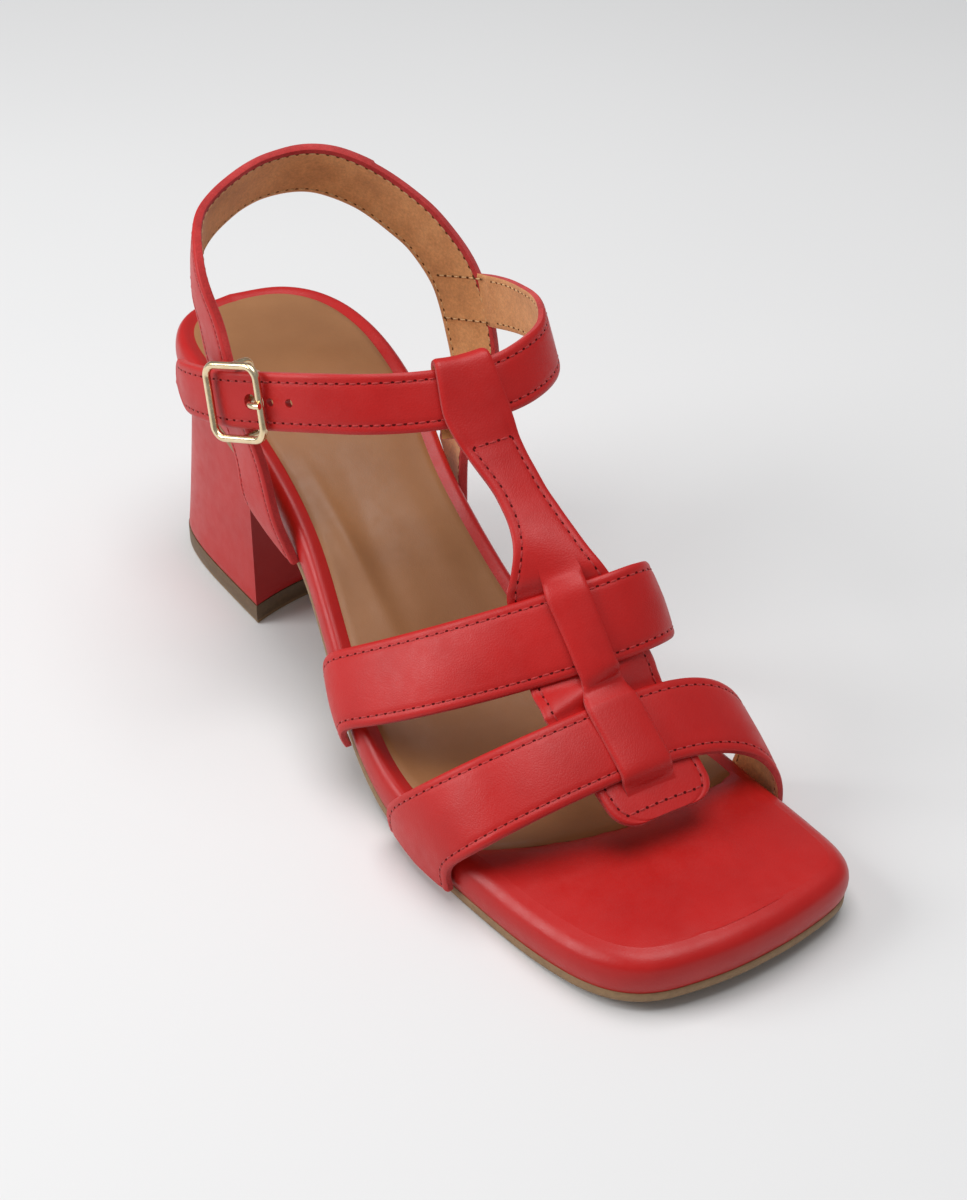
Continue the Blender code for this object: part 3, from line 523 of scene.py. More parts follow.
def woven(place, edge, base, pale, blue):
    """Ribbed elastic with a pale and a blue thread along its middle."""
    across = add(place, "ShaderNodeSeparateXYZ", {"Vector": place})["Y"]
    tint = ramp_node(across, (0.0, edge), (0.10, base), (0.36, base), (0.385, pale), (0.47, pale),
                     (0.485, blue), (0.515, blue), (0.53, pale), (0.615, pale), (0.64, base), (0.92, base))
    values = {"Vector": place, "Scale": 8.0, "Distortion": 0.4, "Detail": 1.0}
    wave = add(place, "ShaderNodeTexWave", values, bands_direction="X")["Fac"]
    return {"Base Color": mix_node(tint, range_node(wave, 0.0, 1.0, 0.72, 1.1)),
            "Normal": bump_node(wave, strength=0.6, distance=0.0003), "Roughness": 0.7, "Sheen Weight": 0.3}


def backdrop(coords, dark, light):
    """Matt grey, barely uneven."""
    soft = noise_node(coords, scale=3.0, detail=2.0)
    return {"Base Color": ramp_node(soft, (0.3, (dark,) * 3), (0.7, (light,) * 3)),
            "Roughness": 0.9, "Specular IOR Level": 0.1}


RED = material("red_strap_leather", leather, (0.445, 0.0092, 0.0082), (0.485, 0.0105, 0.0093),
               (0.52, 0.0125, 0.011), rough=0.42)
RED_WRAP = material("red_wrap_leather", leather, (0.42, 0.0085, 0.0075), (0.455, 0.0098, 0.0085),
                    (0.485, 0.0115, 0.010), rough=0.36, grain=0.14)
RED_HEEL = material("red_heel_leather", leather, (0.42, 0.0085, 0.0078), (0.45, 0.0098, 0.0088),
                    (0.475, 0.0115, 0.0105), rough=0.38, grain=0.12)
SOCK = material("tan_sock_leather", leather, (0.305, 0.132, 0.051), (0.33, 0.146, 0.057),
                (0.352, 0.160, 0.065), rough=0.42, grain=0.14, cell=2200.0)
EDGE = material("red_cut_edge", napped, (0.36, 0.012, 0.012), (0.47, 0.022, 0.021), (0.58, 0.045, 0.042),
                scale=700.0, strength=0.8, sheen=0.15)
LINING = material("tan_suede_lining", napped, (0.52, 0.218, 0.069), (0.66, 0.290, 0.096),
                  (0.77, 0.365, 0.135))
OUTSOLE = material("brown_outsole", moulded, (0.235, 0.135, 0.062), (0.32, 0.19, 0.09), rough=0.55)
LIFT = material("brown_top_lift", moulded, (0.115, 0.066, 0.030), (0.155, 0.092, 0.043), rough=0.5,
                pale=(0.30, 0.185, 0.085), pale_height=0.0014)
THREAD = material("red_thread", thread, (0.36, 0.010, 0.010), (0.50, 0.018, 0.017))
TAN_THREAD = material("tan_thread", thread, (0.50, 0.27, 0.10), (0.76, 0.50, 0.24))
# Needle holes on the face: flat dark discs of painted shade.
HOLE_SHADE = material("hole_painted_shade", thread, (0.070, 0.004, 0.004), (0.100, 0.006, 0.006), sheen=0.0, gloss=0.05)
# Needle holes of the tan stitches: flat dark discs of painted shade.
TAN_HOLE_SHADE = material("lining_hole_painted_shade", thread, (0.09, 0.035, 0.014), (0.14, 0.06, 0.025), sheen=0.0,
                     gloss=0.05)
GOLD = material("pale_gold_plate", plated, (0.78, 0.60, 0.36), (0.88, 0.74, 0.50))
ELASTIC = material("ribbed_elastic", woven, (0.40, 0.28, 0.21), (0.46, 0.33, 0.25), (0.78, 0.76, 0.74),
                   (0.30, 0.36, 0.52), space="UV")


# Mesh pieces

SHARP, WELD = 55.0, 1e-6


def add_object(name, data):
    made = bpy.data.objects.new(name, data)
    scene.collection.objects.link(made)
    return made


def shoe_piece(name, mesh, node):
    """Object that rides on the shoe and stands for one of its solids."""
    piece = add_object(name, mesh)
    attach(piece, "root")
    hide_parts(node)
    return piece


def final_mesh(made):
    """Mesh of an object with its modifiers and bevels worked out."""
    graph = bpy.context.evaluated_depsgraph_get()
    return bpy.data.meshes.new_from_object(made.evaluated_get(graph))


def place_piece(name, verts, faces, looks, kinds, node, sharp=SHARP):
    """New mesh piece in metres, with a kind of look for each face."""
    mesh = bpy.data.meshes.new(name)
    points = (np.array(verts) - MID) * MM
    mesh.from_pydata(points.tolist(), [], faces)
    for look in looks:
        mesh.materials.append(look)
    mesh.polygons.foreach_set("material_index", kinds)
    mesh.validate()
    mesh.shade_smooth()
    mesh.set_sharp_from_angle(angle=math.radians(sharp))
    return shoe_piece(name, mesh, node)


def clean(piece):
    """Welds doubled points and turns the faces outward."""
    shape = bmesh.new()
    shape.from_mesh(piece.data)
    bmesh.ops.remove_doubles(shape, verts=shape.verts, dist=WELD)
    bmesh.ops.dissolve_degenerate(shape, edges=shape.edges, dist=WELD)
    bmesh.ops.recalc_face_normals(shape, faces=shape.faces)
    shape.to_mesh(piece.data)
    shape.free()
    return piece


def rim(grid):
    """Entries round the rim of a grid, in order."""
    return np.concatenate([grid[:, 0], grid[-1, 1:], grid[-2::-1, -1], grid[0, -2:0:-1]])


def grid_faces(rows, columns, start=0):
    corners = [start + i * columns + k for i in range(rows - 1) for k in range(columns - 1)]
    return [(a, a + 1, a + columns + 1, a + columns) for a in corners]


def ring_faces(low, high):
    return [(low[i - 1], low[i], high[i], high[i - 1]) for i in range(1 - len(low), 1)]


def loft_piece(name, grids, look, node, sharp=SHARP):
    """Closed loft through grids of one pattern, lowest first, as a mesh piece."""
    rows, columns = grids[0].shape[:2]
    edge = rim(np.arange(rows * columns).reshape(rows, columns)).tolist()
    verts = [grids[0].reshape(-1, 3)]
    faces = [face[::-1] for face in grid_faces(rows, columns)]
    rings = [edge]
    count = rows * columns
    for grid in grids[1:-1]:
        verts.append(rim(grid))
        rings.append(range(count, count + len(edge)))
        count += len(edge)
    verts.append(grids[-1].reshape(-1, 3))
    faces += grid_faces(rows, columns, count)
    rings.append([count + i for i in edge])
    for low, high in zip(rings, rings[1:]):
        faces += ring_faces(low, high)
    piece = place_piece(name, np.concatenate(verts), faces, (look,), [0] * len(faces), node, sharp)
    return clean(piece)


def wobble(points, scale, amount, seed):
    """Soft unevenness of hand-lasted leather at each point."""
    flat = points.reshape(-1, 3)
    values = [noise.noise(Vector((x / scale + seed, y / scale, z / scale))) for x, y, z in flat]
    return amount * np.array(values).reshape(points.shape[:-1])


def grid_normals(grid, away_from):
    """Directions square to a sheet, away from a point or points."""
    normal = np.cross(np.gradient(grid, axis=0), np.gradient(grid, axis=1))
    normal /= np.maximum(norm(normal, axis=2), 1e-9)[:, :, None]
    if ((grid - away_from) * normal).sum() < 0:
        normal = -normal
    return normal


EDGE_STEPS = np.array([0.0, 0.18, 0.45, 0.9, 1.4, 1.85, STITCH_IN, 2.6, 3.1, 3.8])
STITCH_COLUMN = int(np.argmin(np.abs(EDGE_STEPS - STITCH_IN)))
INNER_COLUMNS = 7
NARROWEST = 2.4


def across_columns(grid):
    """The grid's rows at set distances from both edges, and those distances."""
    out, dist, share = [], [], []
    for row in grid:
        run = run_length(row)
        width = run[-1]
        edge = EDGE_STEPS * min(1.0, width / (NARROWEST * EDGE_STEPS[-1]))
        inner = np.linspace(edge[-1], width - edge[-1], INNER_COLUMNS + 2)[1:-1]
        places = np.concatenate([edge, inner, width - edge[::-1]])
        out.append(sample(row, run, places))
        dist.append(np.minimum(places, width - places))
        share.append(places / width)
    return np.array(out), np.array(dist), np.array(share)


def circle(count):
    """Cosines and sines of evenly spaced angles."""
    angles = 2 * math.pi * np.arange(count) / count
    return list(zip(np.cos(angles), np.sin(angles)))


stitch_verts, stitch_faces, stitch_kinds = [], [], []
CAPSULE = (
    # place along a stitch, share of its radius, height
    (0.0, 0.35, -0.16), (0.14, 0.85, -0.02), (0.5, 1.0, 0.05), (0.86, 0.85, -0.02), (1.0, 0.35, -0.16),
)
CAPSULE_SIDES, HOLE_SIDES = 7, 8
THREAD_START, THREAD_SHARE, THREAD_RADIUS = 0.17, 0.66, 0.25
NEEDLE_LIFT, NEEDLE_LENGTH, NEEDLE_WIDTH = 0.05, 0.45, 0.35
EDGE_MARGIN, LINING_RADIUS, LINING_LIFT = 1.5, 0.2, -0.04


def sew(line, normals, pitch=STITCH_PITCH, radius=THREAD_RADIUS, tan=False, lift=0.0, margin=0.0):
    """Thread along a line on the leather, with a flat dark disc of painted shade at each needle hole."""
    run = run_length(line)
    length = run[-1] - 2 * margin
    count = int(length / pitch)
    places = margin + length / count * np.arange(count + 1)
    knots, ups = sample(line, run, places), unit(sample(normals, run, places))
    for a, b, up in zip(knots, knots[1:], ups):
        side = unit(np.cross(up, b - a))
        base = len(stitch_verts)
        for share, wide, high in CAPSULE:
            centre = a + (b - a) * (THREAD_START + THREAD_SHARE * share) + up * (high + lift)
            stitch_verts.extend(centre + radius * wide * (c * side + s * up)
                                for c, s in circle(CAPSULE_SIDES))
        rings = np.arange(base, len(stitch_verts)).reshape(-1, CAPSULE_SIDES).tolist()
        for low, high in zip(rings, rings[1:]):
            stitch_faces.extend(ring_faces(low, high))
            stitch_kinds.extend([2 if tan else 0] * CAPSULE_SIDES)
    # Each needle hole is a flat dark disc just over the leather: painted shade of the hole.
    for knot, up, ahead in zip(knots, ups, unit(np.gradient(knots, axis=0))):
        side = np.cross(up, ahead)
        centre = knot + (NEEDLE_LIFT + lift) * up
        base = len(stitch_verts)
        stitch_verts.extend(centre + NEEDLE_LENGTH * c * ahead + NEEDLE_WIDTH * s * side
                            for c, s in circle(HOLE_SIDES))
        stitch_faces.append(tuple(range(base, base + HOLE_SIDES)))
        stitch_kinds.append(3 if tan else 1)


ROLL_DEPTH, ROLL_REACH, ROLL_POWER, LINING_ROLL = 0.42, 0.4, 1.5, 0.6
GROOVE_DEPTH, GROOVE_REACH = 0.17, 0.5
BROAD_WOBBLE, FINE_WOBBLE, FINE_SHARE, FINE_SEED = 17.0, 6.0, 0.25, 7.0
FACE_LOOK, CUT_LOOK, LINING_LOOK = 0, 1, 2


def edge_roll(dist):
    """Share of an edge's rounding at a distance from it."""
    return np.exp(-(dist / ROLL_REACH) ** ROLL_POWER)


def leather_strap(name, grid, away_from, seed, crown, thickness=LEATHER, rise=0.0, groove=True, extra=None,
                  uneven=0.16, sunk=0.0, turned=0):
    """A strap with rolled edges, a groove and a lining, its face turned in for some columns along the top."""
    grid, dist, share = across_columns(grid)
    normal = grid_normals(grid, away_from)
    roll = -ROLL_DEPTH * thickness / LEATHER * edge_roll(dist)
    soft = wobble(grid, BROAD_WOBBLE, uneven, seed)
    soft += wobble(grid, FINE_WOBBLE, uneven * FINE_SHARE, seed + FINE_SEED)
    middle = rise + crown * (0.5 - (2 * share - 1) ** 2) + soft
    outer = middle + roll
    inner = middle - thickness - LINING_ROLL * roll
    if groove:
        outer = outer - GROOVE_DEPTH * bell(dist, STITCH_IN, GROOVE_REACH)
    if extra is not None:
        outer = outer + extra(dist, share)
    top = grid + normal * (outer - sunk)[:, :, None]
    low = grid + normal * (inner + sunk)[:, :, None]
    rows, columns = dist.shape
    size = rows * columns
    turned_in = columns - 1 - turned
    faces, kinds = [], []
    for quad in grid_faces(rows, columns):
        faces += [quad, tuple(size + v for v in quad[::-1])]
        kinds += [FACE_LOOK, CUT_LOOK if quad[0] % columns >= turned_in else LINING_LOOK]
    edge = rim(np.arange(size).reshape(rows, columns)).tolist()
    faces += ring_faces(edge, [size + i for i in edge])
    kinds += [CUT_LOOK] * len(edge)
    verts = np.concatenate([top.reshape(-1, 3), low.reshape(-1, 3)])
    piece = place_piece(name, verts, faces, (RED, EDGE, LINING), kinds, "upper")
    return clean(piece), top, low, normal


def sew_edges(top, low, normal, rows=slice(None)):
    """Stitches along both edges of a strap, seen on its face and, finer, on its lining."""
    for k, inner in ((STITCH_COLUMN, STITCH_COLUMN - 2), (-1 - STITCH_COLUMN, 1 - STITCH_COLUMN)):
        sew(top[rows, k], normal[rows, k], margin=EDGE_MARGIN)
        sew(low[rows, inner], -normal[rows, inner], radius=LINING_RADIUS, tan=True, lift=LINING_LIFT,
            margin=EDGE_MARGIN)


# Sole, sock and heel

SOLE_COLUMNS = np.linspace(0.0, 1.0, 25)
OUTSOLE_WALL = (
    # inset from the outline, height
    (1.7, 0.0), (1.2, 0.12), (0.95, 0.5), (0.9, 1.2), (0.9, 2.2), (1.2, 2.6),
)
loft_piece("outsole_sheet", [sole_grid(*row, SOLE_COLUMNS) for row in OUTSOLE_WALL], OUTSOLE, "outsole")
FAR_BEHIND = -50.0


def sock_ahead(points):
    """Distance ahead of the sock's curved front edge."""
    x, y = points[..., 0], points[..., 1]
    middle = SOCK_FRONT_X - SOCK_FRONT_RADIUS
    reach = np.hypot(x - middle, y - SOCK_FRONT_Y) - SOCK_FRONT_RADIUS
    return np.where(x < middle, FAR_BEHIND, reach)


WALL_STEPS, WALL_WOBBLE = 26, (16.0, 0.16, 3.0)
TOE_RISE = (-14.0, 8.0)
PAD_HEIGHT, PAD_REACH, PAD_POWER, PAD_START = 1.3, 5.0, 1.2, (-3.0, 6.0)
SOCK_RECESS, RECESS_EDGE, RECESS_FRONT = 0.9, 3.0, (-0.4, 0.6)
TOP_WOBBLE, TOP_WOBBLE_IN = (26.0, 0.22, 5.0), 8.0
footbed_grids = []
for inset, height, toe_height in curve_through(FOOTBED_WALL, WALL_STEPS):
    grid = sole_grid(inset, FOOTBED_BASE + height, SOLE_COLUMNS)
    grid[:, :, 2] += (toe_height - height) * step(sock_ahead(grid), *TOE_RISE)
    footbed_grids.append(grid)
for grid in footbed_grids[1:-1]:
    grid[:, [0, -1], 1] += wobble(grid[:, [0, -1]], *WALL_WOBBLE)
top_grid = footbed_grids[-1]
ahead = sock_ahead(top_grid)
ring = rim(top_grid)[:, :2]
inside = np.array([[norm(ring - point, axis=1).min() for point in row] for row in top_grid[:, :, :2]])
pad = PAD_HEIGHT * (1 - np.exp(-(inside / PAD_REACH) ** PAD_POWER)) * step(ahead, *PAD_START)
recess = SOCK_RECESS * step(inside, 0.0, RECESS_EDGE) * step(-ahead, *RECESS_FRONT)
top_grid[:, :, 2] += pad - recess + wobble(top_grid, *TOP_WOBBLE) * step(inside, 0.0, TOP_WOBBLE_IN)
loft_piece("footbed_wrap", footbed_grids, RED_WRAP, "footbed", sharp=70.0)

SOCK_COLUMNS, SOCK_ROWS, SOCK_GAP, SOCK_RISE = 61, 170, 0.25, 0.25
SOCK_ROLL, SOCK_ROLL_REACH, SOCK_CROWN, SOCK_CROWN_REACH = 0.55, 0.7, 0.55, 14.0
SOCK_CREASES = (
    # height, y, drift of y along x, reach across, x, reach along
    (1.1, -16.5, 0.0, 2.6, 90.0, 20.0), (-0.9, -9.74, -0.12, 4.2, 92.0, 20.0),
    (0.5, 6.0, 0.0, 5.0, 100.0, 16.0),
)
SOCK_WOBBLE = (26.0, 0.3, 9.0)


def make_sock():
    """Lining leather on the footbed with a rolled edge, cut in a curve ahead of the straps."""
    fine = np.linspace(0.0, 1.0, SOCK_COLUMNS)
    seat = FOOTBED_BASE + FOOTBED_CROWN
    surface = sole_grid(SOCK_INSET + SOCK_GAP, seat, fine)
    rows = []
    for line in np.swapaxes(surface, 0, 1):
        ahead = sock_ahead(line)
        last = int(np.argmax(ahead > 0))
        t = -ahead[last - 1] / (ahead[last] - ahead[last - 1])
        cut = line[last - 1] + (line[last] - line[last - 1]) * t
        rows.append(resample(np.vstack([line[:last], cut]), SOCK_ROWS))
    grid = np.swapaxes(np.array(rows), 0, 1)
    z = sole_heights(grid)
    x, y = grid[:, :, 0], grid[:, :, 1]
    edge = np.minimum(fine, 1 - fine)[None, :] * norm(grid[:, -1] - grid[:, 0], axis=1)[:, None]
    near = np.minimum(edge, -sock_ahead(grid))
    height = seat + SOCK_RISE + SOCK_CROWN * step(edge, 0.0, SOCK_CROWN_REACH) + wobble(grid, *SOCK_WOBBLE)
    for rise, middle, drift, wide, place, along in SOCK_CREASES:
        height += rise * bell(y, middle + drift * (x - place), wide) * bell(x, place, along)
    height -= SOCK_ROLL * np.exp(-(near / SOCK_ROLL_REACH) ** ROLL_POWER)
    low = grid.copy()
    low[:, :, 2] = z + seat - SOCK_RECESS
    grid[:, :, 2] = z + height
    loft_piece("sock_lining", [low, grid], SOCK, "insole_sock")


make_sock()

turn = np.linspace(0.0, 1.0, 73)
half_across = np.concatenate([[0.006, 0.018, 0.04], np.linspace(0.08, 0.9, 13), [0.95, 0.985, 1.0]])
heel_across = np.concatenate([-half_across[::-1], [0.0], half_across])
HOLLOW_POWER = 6
HEEL_LEVELS = np.concatenate([[0.0, 0.01], np.linspace(0.04, 0.96, 24), [0.99, 1.0]])
HEEL_GAP, LIFT_GAP, HEEL_ROUND, HEEL_ROUND_REACH = 0.1, 0.15, 0.35, 0.008
BREAST_SEAM, SEAM_SWELL = (-0.7, 0.0, 0.022), (0.28, 0.055, 0.04)
LIFT_WALL = (
    # inset from the heel, height
    (0.7, 0.0), (0.2, 0.15), (0.0, 0.6), (0.0, LIFT_THICK - 0.25), (0.25, LIFT_THICK),
)


def heel_ring(share, inset):
    """Rungs of the heel at a share of its height, hollowed towards the breast."""
    narrow = share ** HEEL_FLARE
    back, front, half_width = [low + (high - low) * narrow for low, high in zip(HEEL_FLOOR, HEEL_TOP)]
    hollow = BREAST_HOLLOW[0] + (BREAST_HOLLOW[1] - BREAST_HOLLOW[0]) * narrow
    bend = 2.0 / HEEL_SQUARENESS
    x = front - inset - (front - back - 2 * inset) * np.cos(turn * math.pi / 2) ** bend
    half = (half_width - inset) * np.sin(turn * math.pi / 2) ** bend
    grid = np.zeros((len(turn), len(heel_across), 3))
    grid[:, :, 0] = x[:, None] - hollow * turn[:, None] ** HOLLOW_POWER * (1 - heel_across ** 2)
    grid[:, :, 1] = half[:, None] * heel_across
    return grid


block_grids = []
heel_floor = LIFT_THICK + LIFT_GAP
for share in HEEL_LEVELS:
    rounding = HEEL_ROUND * (bell(share, 0.0, HEEL_ROUND_REACH) + bell(share, 1.0, HEEL_ROUND_REACH))
    grid = heel_ring(share, HEEL_GAP + rounding)
    grid[:, :, 2] = heel_floor + (sole_heights(grid) - HEEL_GAP - heel_floor) * share
    for depth, place, reach in (BREAST_SEAM, SEAM_SWELL):
        grid[-1, :, 0] += depth * bell(np.abs(heel_across), place, reach)
    block_grids.append(grid)
loft_piece("heel_cover", block_grids, RED_HEEL, "heel_block", sharp=50.0)

lift_grids = []
for inset, height in LIFT_WALL:
    grid = heel_ring(0.0, inset)
    grid[:, :, 2] = height
    lift_grids.append(grid)
loft_piece("heel_lift", lift_grids, LIFT, "top_lift", sharp=50.0)


# Straps

FRONT_ROWS, FRONT_EASE, OVER_STEPS, WALL_SHARES = 170, 5.0, 90, 20
FRONT_CROWN, FRONT_LOW = 0.6, (1, 1, 0.3)


def front_strap_edges(back, front):
    """Back edge, middle and front edge of a front strap, from one wall of the sole to the other."""
    shares = np.concatenate([np.linspace(0.0, 1.0, OVER_STEPS), 1.0 + np.linspace(0.0, 1.0, WALL_SHARES)[1:]])
    route = [(-1, s) for s in shares[:0:-1]] + [(1, s) for s in shares]
    edges = [resample([arch_point(section, side, share) for side, share in route], FRONT_ROWS)
             for section in (back, 0.5 * (back + front), front)]
    return soften(np.stack(edges, axis=1), FRONT_EASE)


for name, back, seed in (("rear_strap", 2, 1.0), ("toe_strap", 4, 2.0)):
    grid = front_strap_edges(back, back + 1)
    sew_edges(*leather_strap(name, grid, grid.mean(axis=(0, 1)) * FRONT_LOW, seed, FRONT_CROWN)[1:])


def tbar_half(section):
    """Half width of the T-bar, with a rounded tab at its end."""
    end = TBAR[-1][0]
    if section <= end:
        return float(tbar_row(section)[0])
    past = max(section - (TIP - TAB_ROUNDING), 0.0) / TAB_ROUNDING
    corner = TAB_END_SHARE + (1.0 - TAB_END_SHARE) * math.sqrt(max(1.0 - past * past, 0.0))
    return TBAR[-1][1] * (1.0 - TAB_TAPER * (section - end)) * corner


SHEET_EASE, LIFT_EASE, SHEET_LOW = 2.0, 1.2, (1, 1, 0.2)


def last_grid(sections, half_of, middle_of, lift_of, count):
    """Sheet over the last, some points wide, at a height over it."""
    across = np.linspace(-1.0, 1.0, count)
    base = [[last_point(s, y) for y in middle_of(s) + half_of(s) * across] for s in sections]
    base = soften(base, SHEET_EASE)
    normal = grid_normals(base, base.mean(axis=(0, 1)) * SHEET_LOW)
    lift = np.array([lift_of(section) for section in sections])
    return base + normal * soften(lift, LIFT_EASE)[:, None, None]


LOOP_PATH = (
    # across the ankle strap, out of it
    (-9.4, -3.0), (-4.0, -3.0), (3.0, -3.0), (7.2, -2.9), (8.9, -2.3), (9.7, -1.0), (9.8, 0.5), (9.1, 2.1),
    (7.6, 3.0), (4.0, 3.2), (-2.0, 3.2), (-7.5, 3.0),
)
LOOP_ROWS, LOOP_SHIFT, LOOP_HALF, LOOP_EASE, LOOP_BLEND = 52, 1.0, 7.9, 3.0, 16.0
TBAR_START, TAB_LENGTH, TAB_SEAM, TBAR_COLUMNS, TBAR_THICK = 0.5, 0.6, 5.74, 13, 1.8
SEAM_DEPTH, SEAM_REACH, FAR_BELOW = 0.25, 1.6, 30.0
round_end = np.sin(np.linspace(0.05, math.pi / 2, 26))
tbar_sections = np.concatenate([np.linspace(TBAR_START, TIP - TAB_LENGTH, 190),
                                TIP - TAB_LENGTH + TAB_LENGTH * round_end])
tbar_sheet = last_grid(tbar_sections, tbar_half, lambda s: tbar_row(s)[1], lambda s: lift_row(s)[0],
                       TBAR_COLUMNS)
loop_rows = [[at_strap(loop_run + LOOP_SHIFT - LOOP_HALF * t, 0.0, out, over)
              for t in np.linspace(-1.0, 1.0, TBAR_COLUMNS)]
             for over, out in resample(curve_through(LOOP_PATH, 60), LOOP_ROWS)]
tbar_grid = np.concatenate([loop_rows, tbar_sheet])
joined = len(loop_rows)
blend = bell(np.arange(len(tbar_grid)), joined, LOOP_BLEND)[:, None, None]
tbar_grid = tbar_grid * (1 - blend) + soften(tbar_grid, LOOP_EASE) * blend
SEAM_ROW = joined + 1
TAB_ROW = int(np.argmin(np.abs(tbar_sections - TAB_SEAM))) + joined


def tbar_relief(dist, share):
    """The sewn cross seam under the loop, and the plain loop without an edge groove."""
    rows = np.arange(len(dist))
    loop = (1 - step(rows, SEAM_ROW - 5, SEAM_ROW - 1))[:, None]
    plain = GROOVE_DEPTH * bell(dist, STITCH_IN, GROOVE_REACH) * loop
    return plain - SEAM_DEPTH * bell(rows, SEAM_ROW, SEAM_REACH)[:, None]


def tab_path(grid):
    """Down one edge of the T-bar, across its tab and up the other edge."""
    rows, column = slice(SEAM_ROW, TAB_ROW - 3), STITCH_COLUMN
    return np.concatenate([grid[rows, column], grid[TAB_ROW, column + 1:-1 - column],
                           grid[rows, -1 - column][::-1]])


inside = tbar_grid.mean(axis=1, keepdims=True)
inside[:joined] = ankle_station(loop_run)[0]
inside[joined:, :, 2] -= FAR_BELOW
piece, top, low, normal = leather_strap("t_bar", tbar_grid, inside, seed=4.0, crown=0.0, thickness=TBAR_THICK,
                                        extra=tbar_relief)
sew(tab_path(top), tab_path(normal), margin=0.5)
seam = (SEAM_ROW, slice(STITCH_COLUMN, -STITCH_COLUMN))
sew(top[seam], normal[seam], margin=0.6)

STRIP_RISE, STRIP_EASE, STRIP_COLUMNS, STRIP_THICK = 0.03, 4.0, 9, 1.9
STRIP_ROLL, STRIP_CROWN, STRIP_SINK, STRIP_APART = 0.40, 0.45, 0.2, (0.15, 1.2)
strip_sections = np.linspace(*STRIP_ENDS, 260)
strip_grid = soften(last_grid(strip_sections, lambda s: lift_row(s)[2], lambda s: STRIP_Y,
                              lambda s: lift_row(s)[1] + STRIP_RISE, STRIP_COLUMNS), STRIP_EASE)
strip_apart = np.array([step(lift_row(s)[1] - lift_row(s)[0], *STRIP_APART) for s in strip_sections])


def strip_relief(dist, share):
    """No rolled edge where the strip lies flush in the T-bar, and a soft crown where it is raised."""
    crown = STRIP_CROWN * (1 - (2 * share - 1) ** 2) - STRIP_SINK
    return STRIP_ROLL * edge_roll(dist) * (1 - strip_apart)[:, None] + crown * strip_apart[:, None]


leather_strap("centre_strip", strip_grid, strip_grid.mean(axis=1, keepdims=True) - [0.0, 0.0, FAR_BELOW],
              seed=4.0, crown=0.0, thickness=STRIP_THICK, groove=False, extra=strip_relief)


def around(grid):
    """Points inside the ankle, level with a strap."""
    inside = grid.mean(axis=1, keepdims=True)
    inside[:, :, 0] = np.clip(inside[:, :, 0], CORE_BACK, CORE_FRONT)
    inside[:, :, 1] = CORE_Y
    return inside


ANKLE_SUNK, SUNK_END, ANKLE_SEWN = 0.5, (14.0, 20.0), slice(26, 254)
LAP_AT, LAP_HEIGHT, LAP_END, LAP_START = (33.5, 24.2, 113.0), 0.55, 1.2, (-60, -8)
ankle_grid = band_edges(ANKLE_ROWS, 260, ANKLE_WIDTH, tip=STRAP_TIP)
ankle_sunk = ANKLE_SUNK * (1 - step(run_length(ankle_grid[:, 1]), *SUNK_END))
ankle, *ankle_faces = leather_strap("ankle_strap", ankle_grid, around(ankle_grid), seed=6.0, crown=0.25,
                                    rise=1.0, sunk=ankle_sunk[:, None])
sew_edges(*ankle_faces, rows=ANKLE_SEWN)
sling_grid = soften(band_edges(sling_rows(), 300, SLING_WIDTH), 2.0)
lap_row = int(np.argmin(norm(sling_grid[:, 1] - LAP_AT, axis=1)))


def sling_relief(dist, share):
    """The end of the outer leather lapped over itself behind the ankle."""
    rows = np.arange(len(dist)) - lap_row
    return (LAP_HEIGHT * (1 - step(rows, 0.0, LAP_END)) * step(rows, *LAP_START))[:, None]


sew_edges(*leather_strap("sling", sling_grid, around(sling_grid), seed=8.0, crown=0.3, thickness=2.5,
                         rise=1.1, extra=sling_relief, uneven=0.22, turned=4)[1:])

PUNCH_SIDES, PUNCH_DEPTH, PRONG_HOLE_SHARE = 20, 8.0, 0.8


def punch(strap):
    """Round holes through the ankle strap."""
    shape = bmesh.new()
    holes = [(PRONG_HOLE_AT, PRONG_HOLE_RADIUS * PRONG_HOLE_SHARE)]
    holes += [(PRONG_HOLE_AT - n * HOLE_PITCH, HOLE_RADIUS) for n in HOLES_AHEAD]
    for along, radius in holes:
        made = bmesh.ops.create_cone(shape, cap_ends=True, segments=PUNCH_SIDES, radius1=radius,
                                     radius2=radius, depth=PUNCH_DEPTH)
        for vert in made["verts"]:
            x, y, z = vert.co
            vert.co = (at_strap(buckle_run + along, x, z, y) - MID) * MM
    bmesh.ops.recalc_face_normals(shape, faces=shape.faces)
    mesh = bpy.data.meshes.new("strap_punch")
    shape.to_mesh(mesh)
    shape.free()
    tool = add_object("strap_punch", mesh)
    cut = strap.modifiers.new("punch", "BOOLEAN")
    cut.operation = "DIFFERENCE"
    cut.solver = "EXACT"
    cut.object = tool
    done = final_mesh(strap)
    strap.modifiers.clear()
    strap.data = done
    bpy.data.objects.remove(tool, do_unlink=True)


punch(ankle)
SLING_SEWN, SEWN_HALF, SEWN_DEPTH = (0.5, 16.0), 6.0, 1.15

# Rows sewn through the sling where the ankle strap is fixed inside it
sewn_runs = np.linspace(*SLING_SEWN, 40)
for edge in (-SEWN_HALF, SEWN_HALF):
    sew([at_strap(run, 0.0, -SEWN_DEPTH, edge) for run in sewn_runs],
        [-ankle_station(run)[2] for run in sewn_runs], radius=0.22, tan=True, pitch=2.4)
place_piece("stitching", stitch_verts, stitch_faces, (THREAD, HOLE_SHADE, TAN_THREAD, TAN_HOLE_SHADE), stitch_kinds,
            "upper", sharp=60.0)


# Buckle and elastic

WIRE_ROUNDNESS, EYE_GAP = 5, 0.2


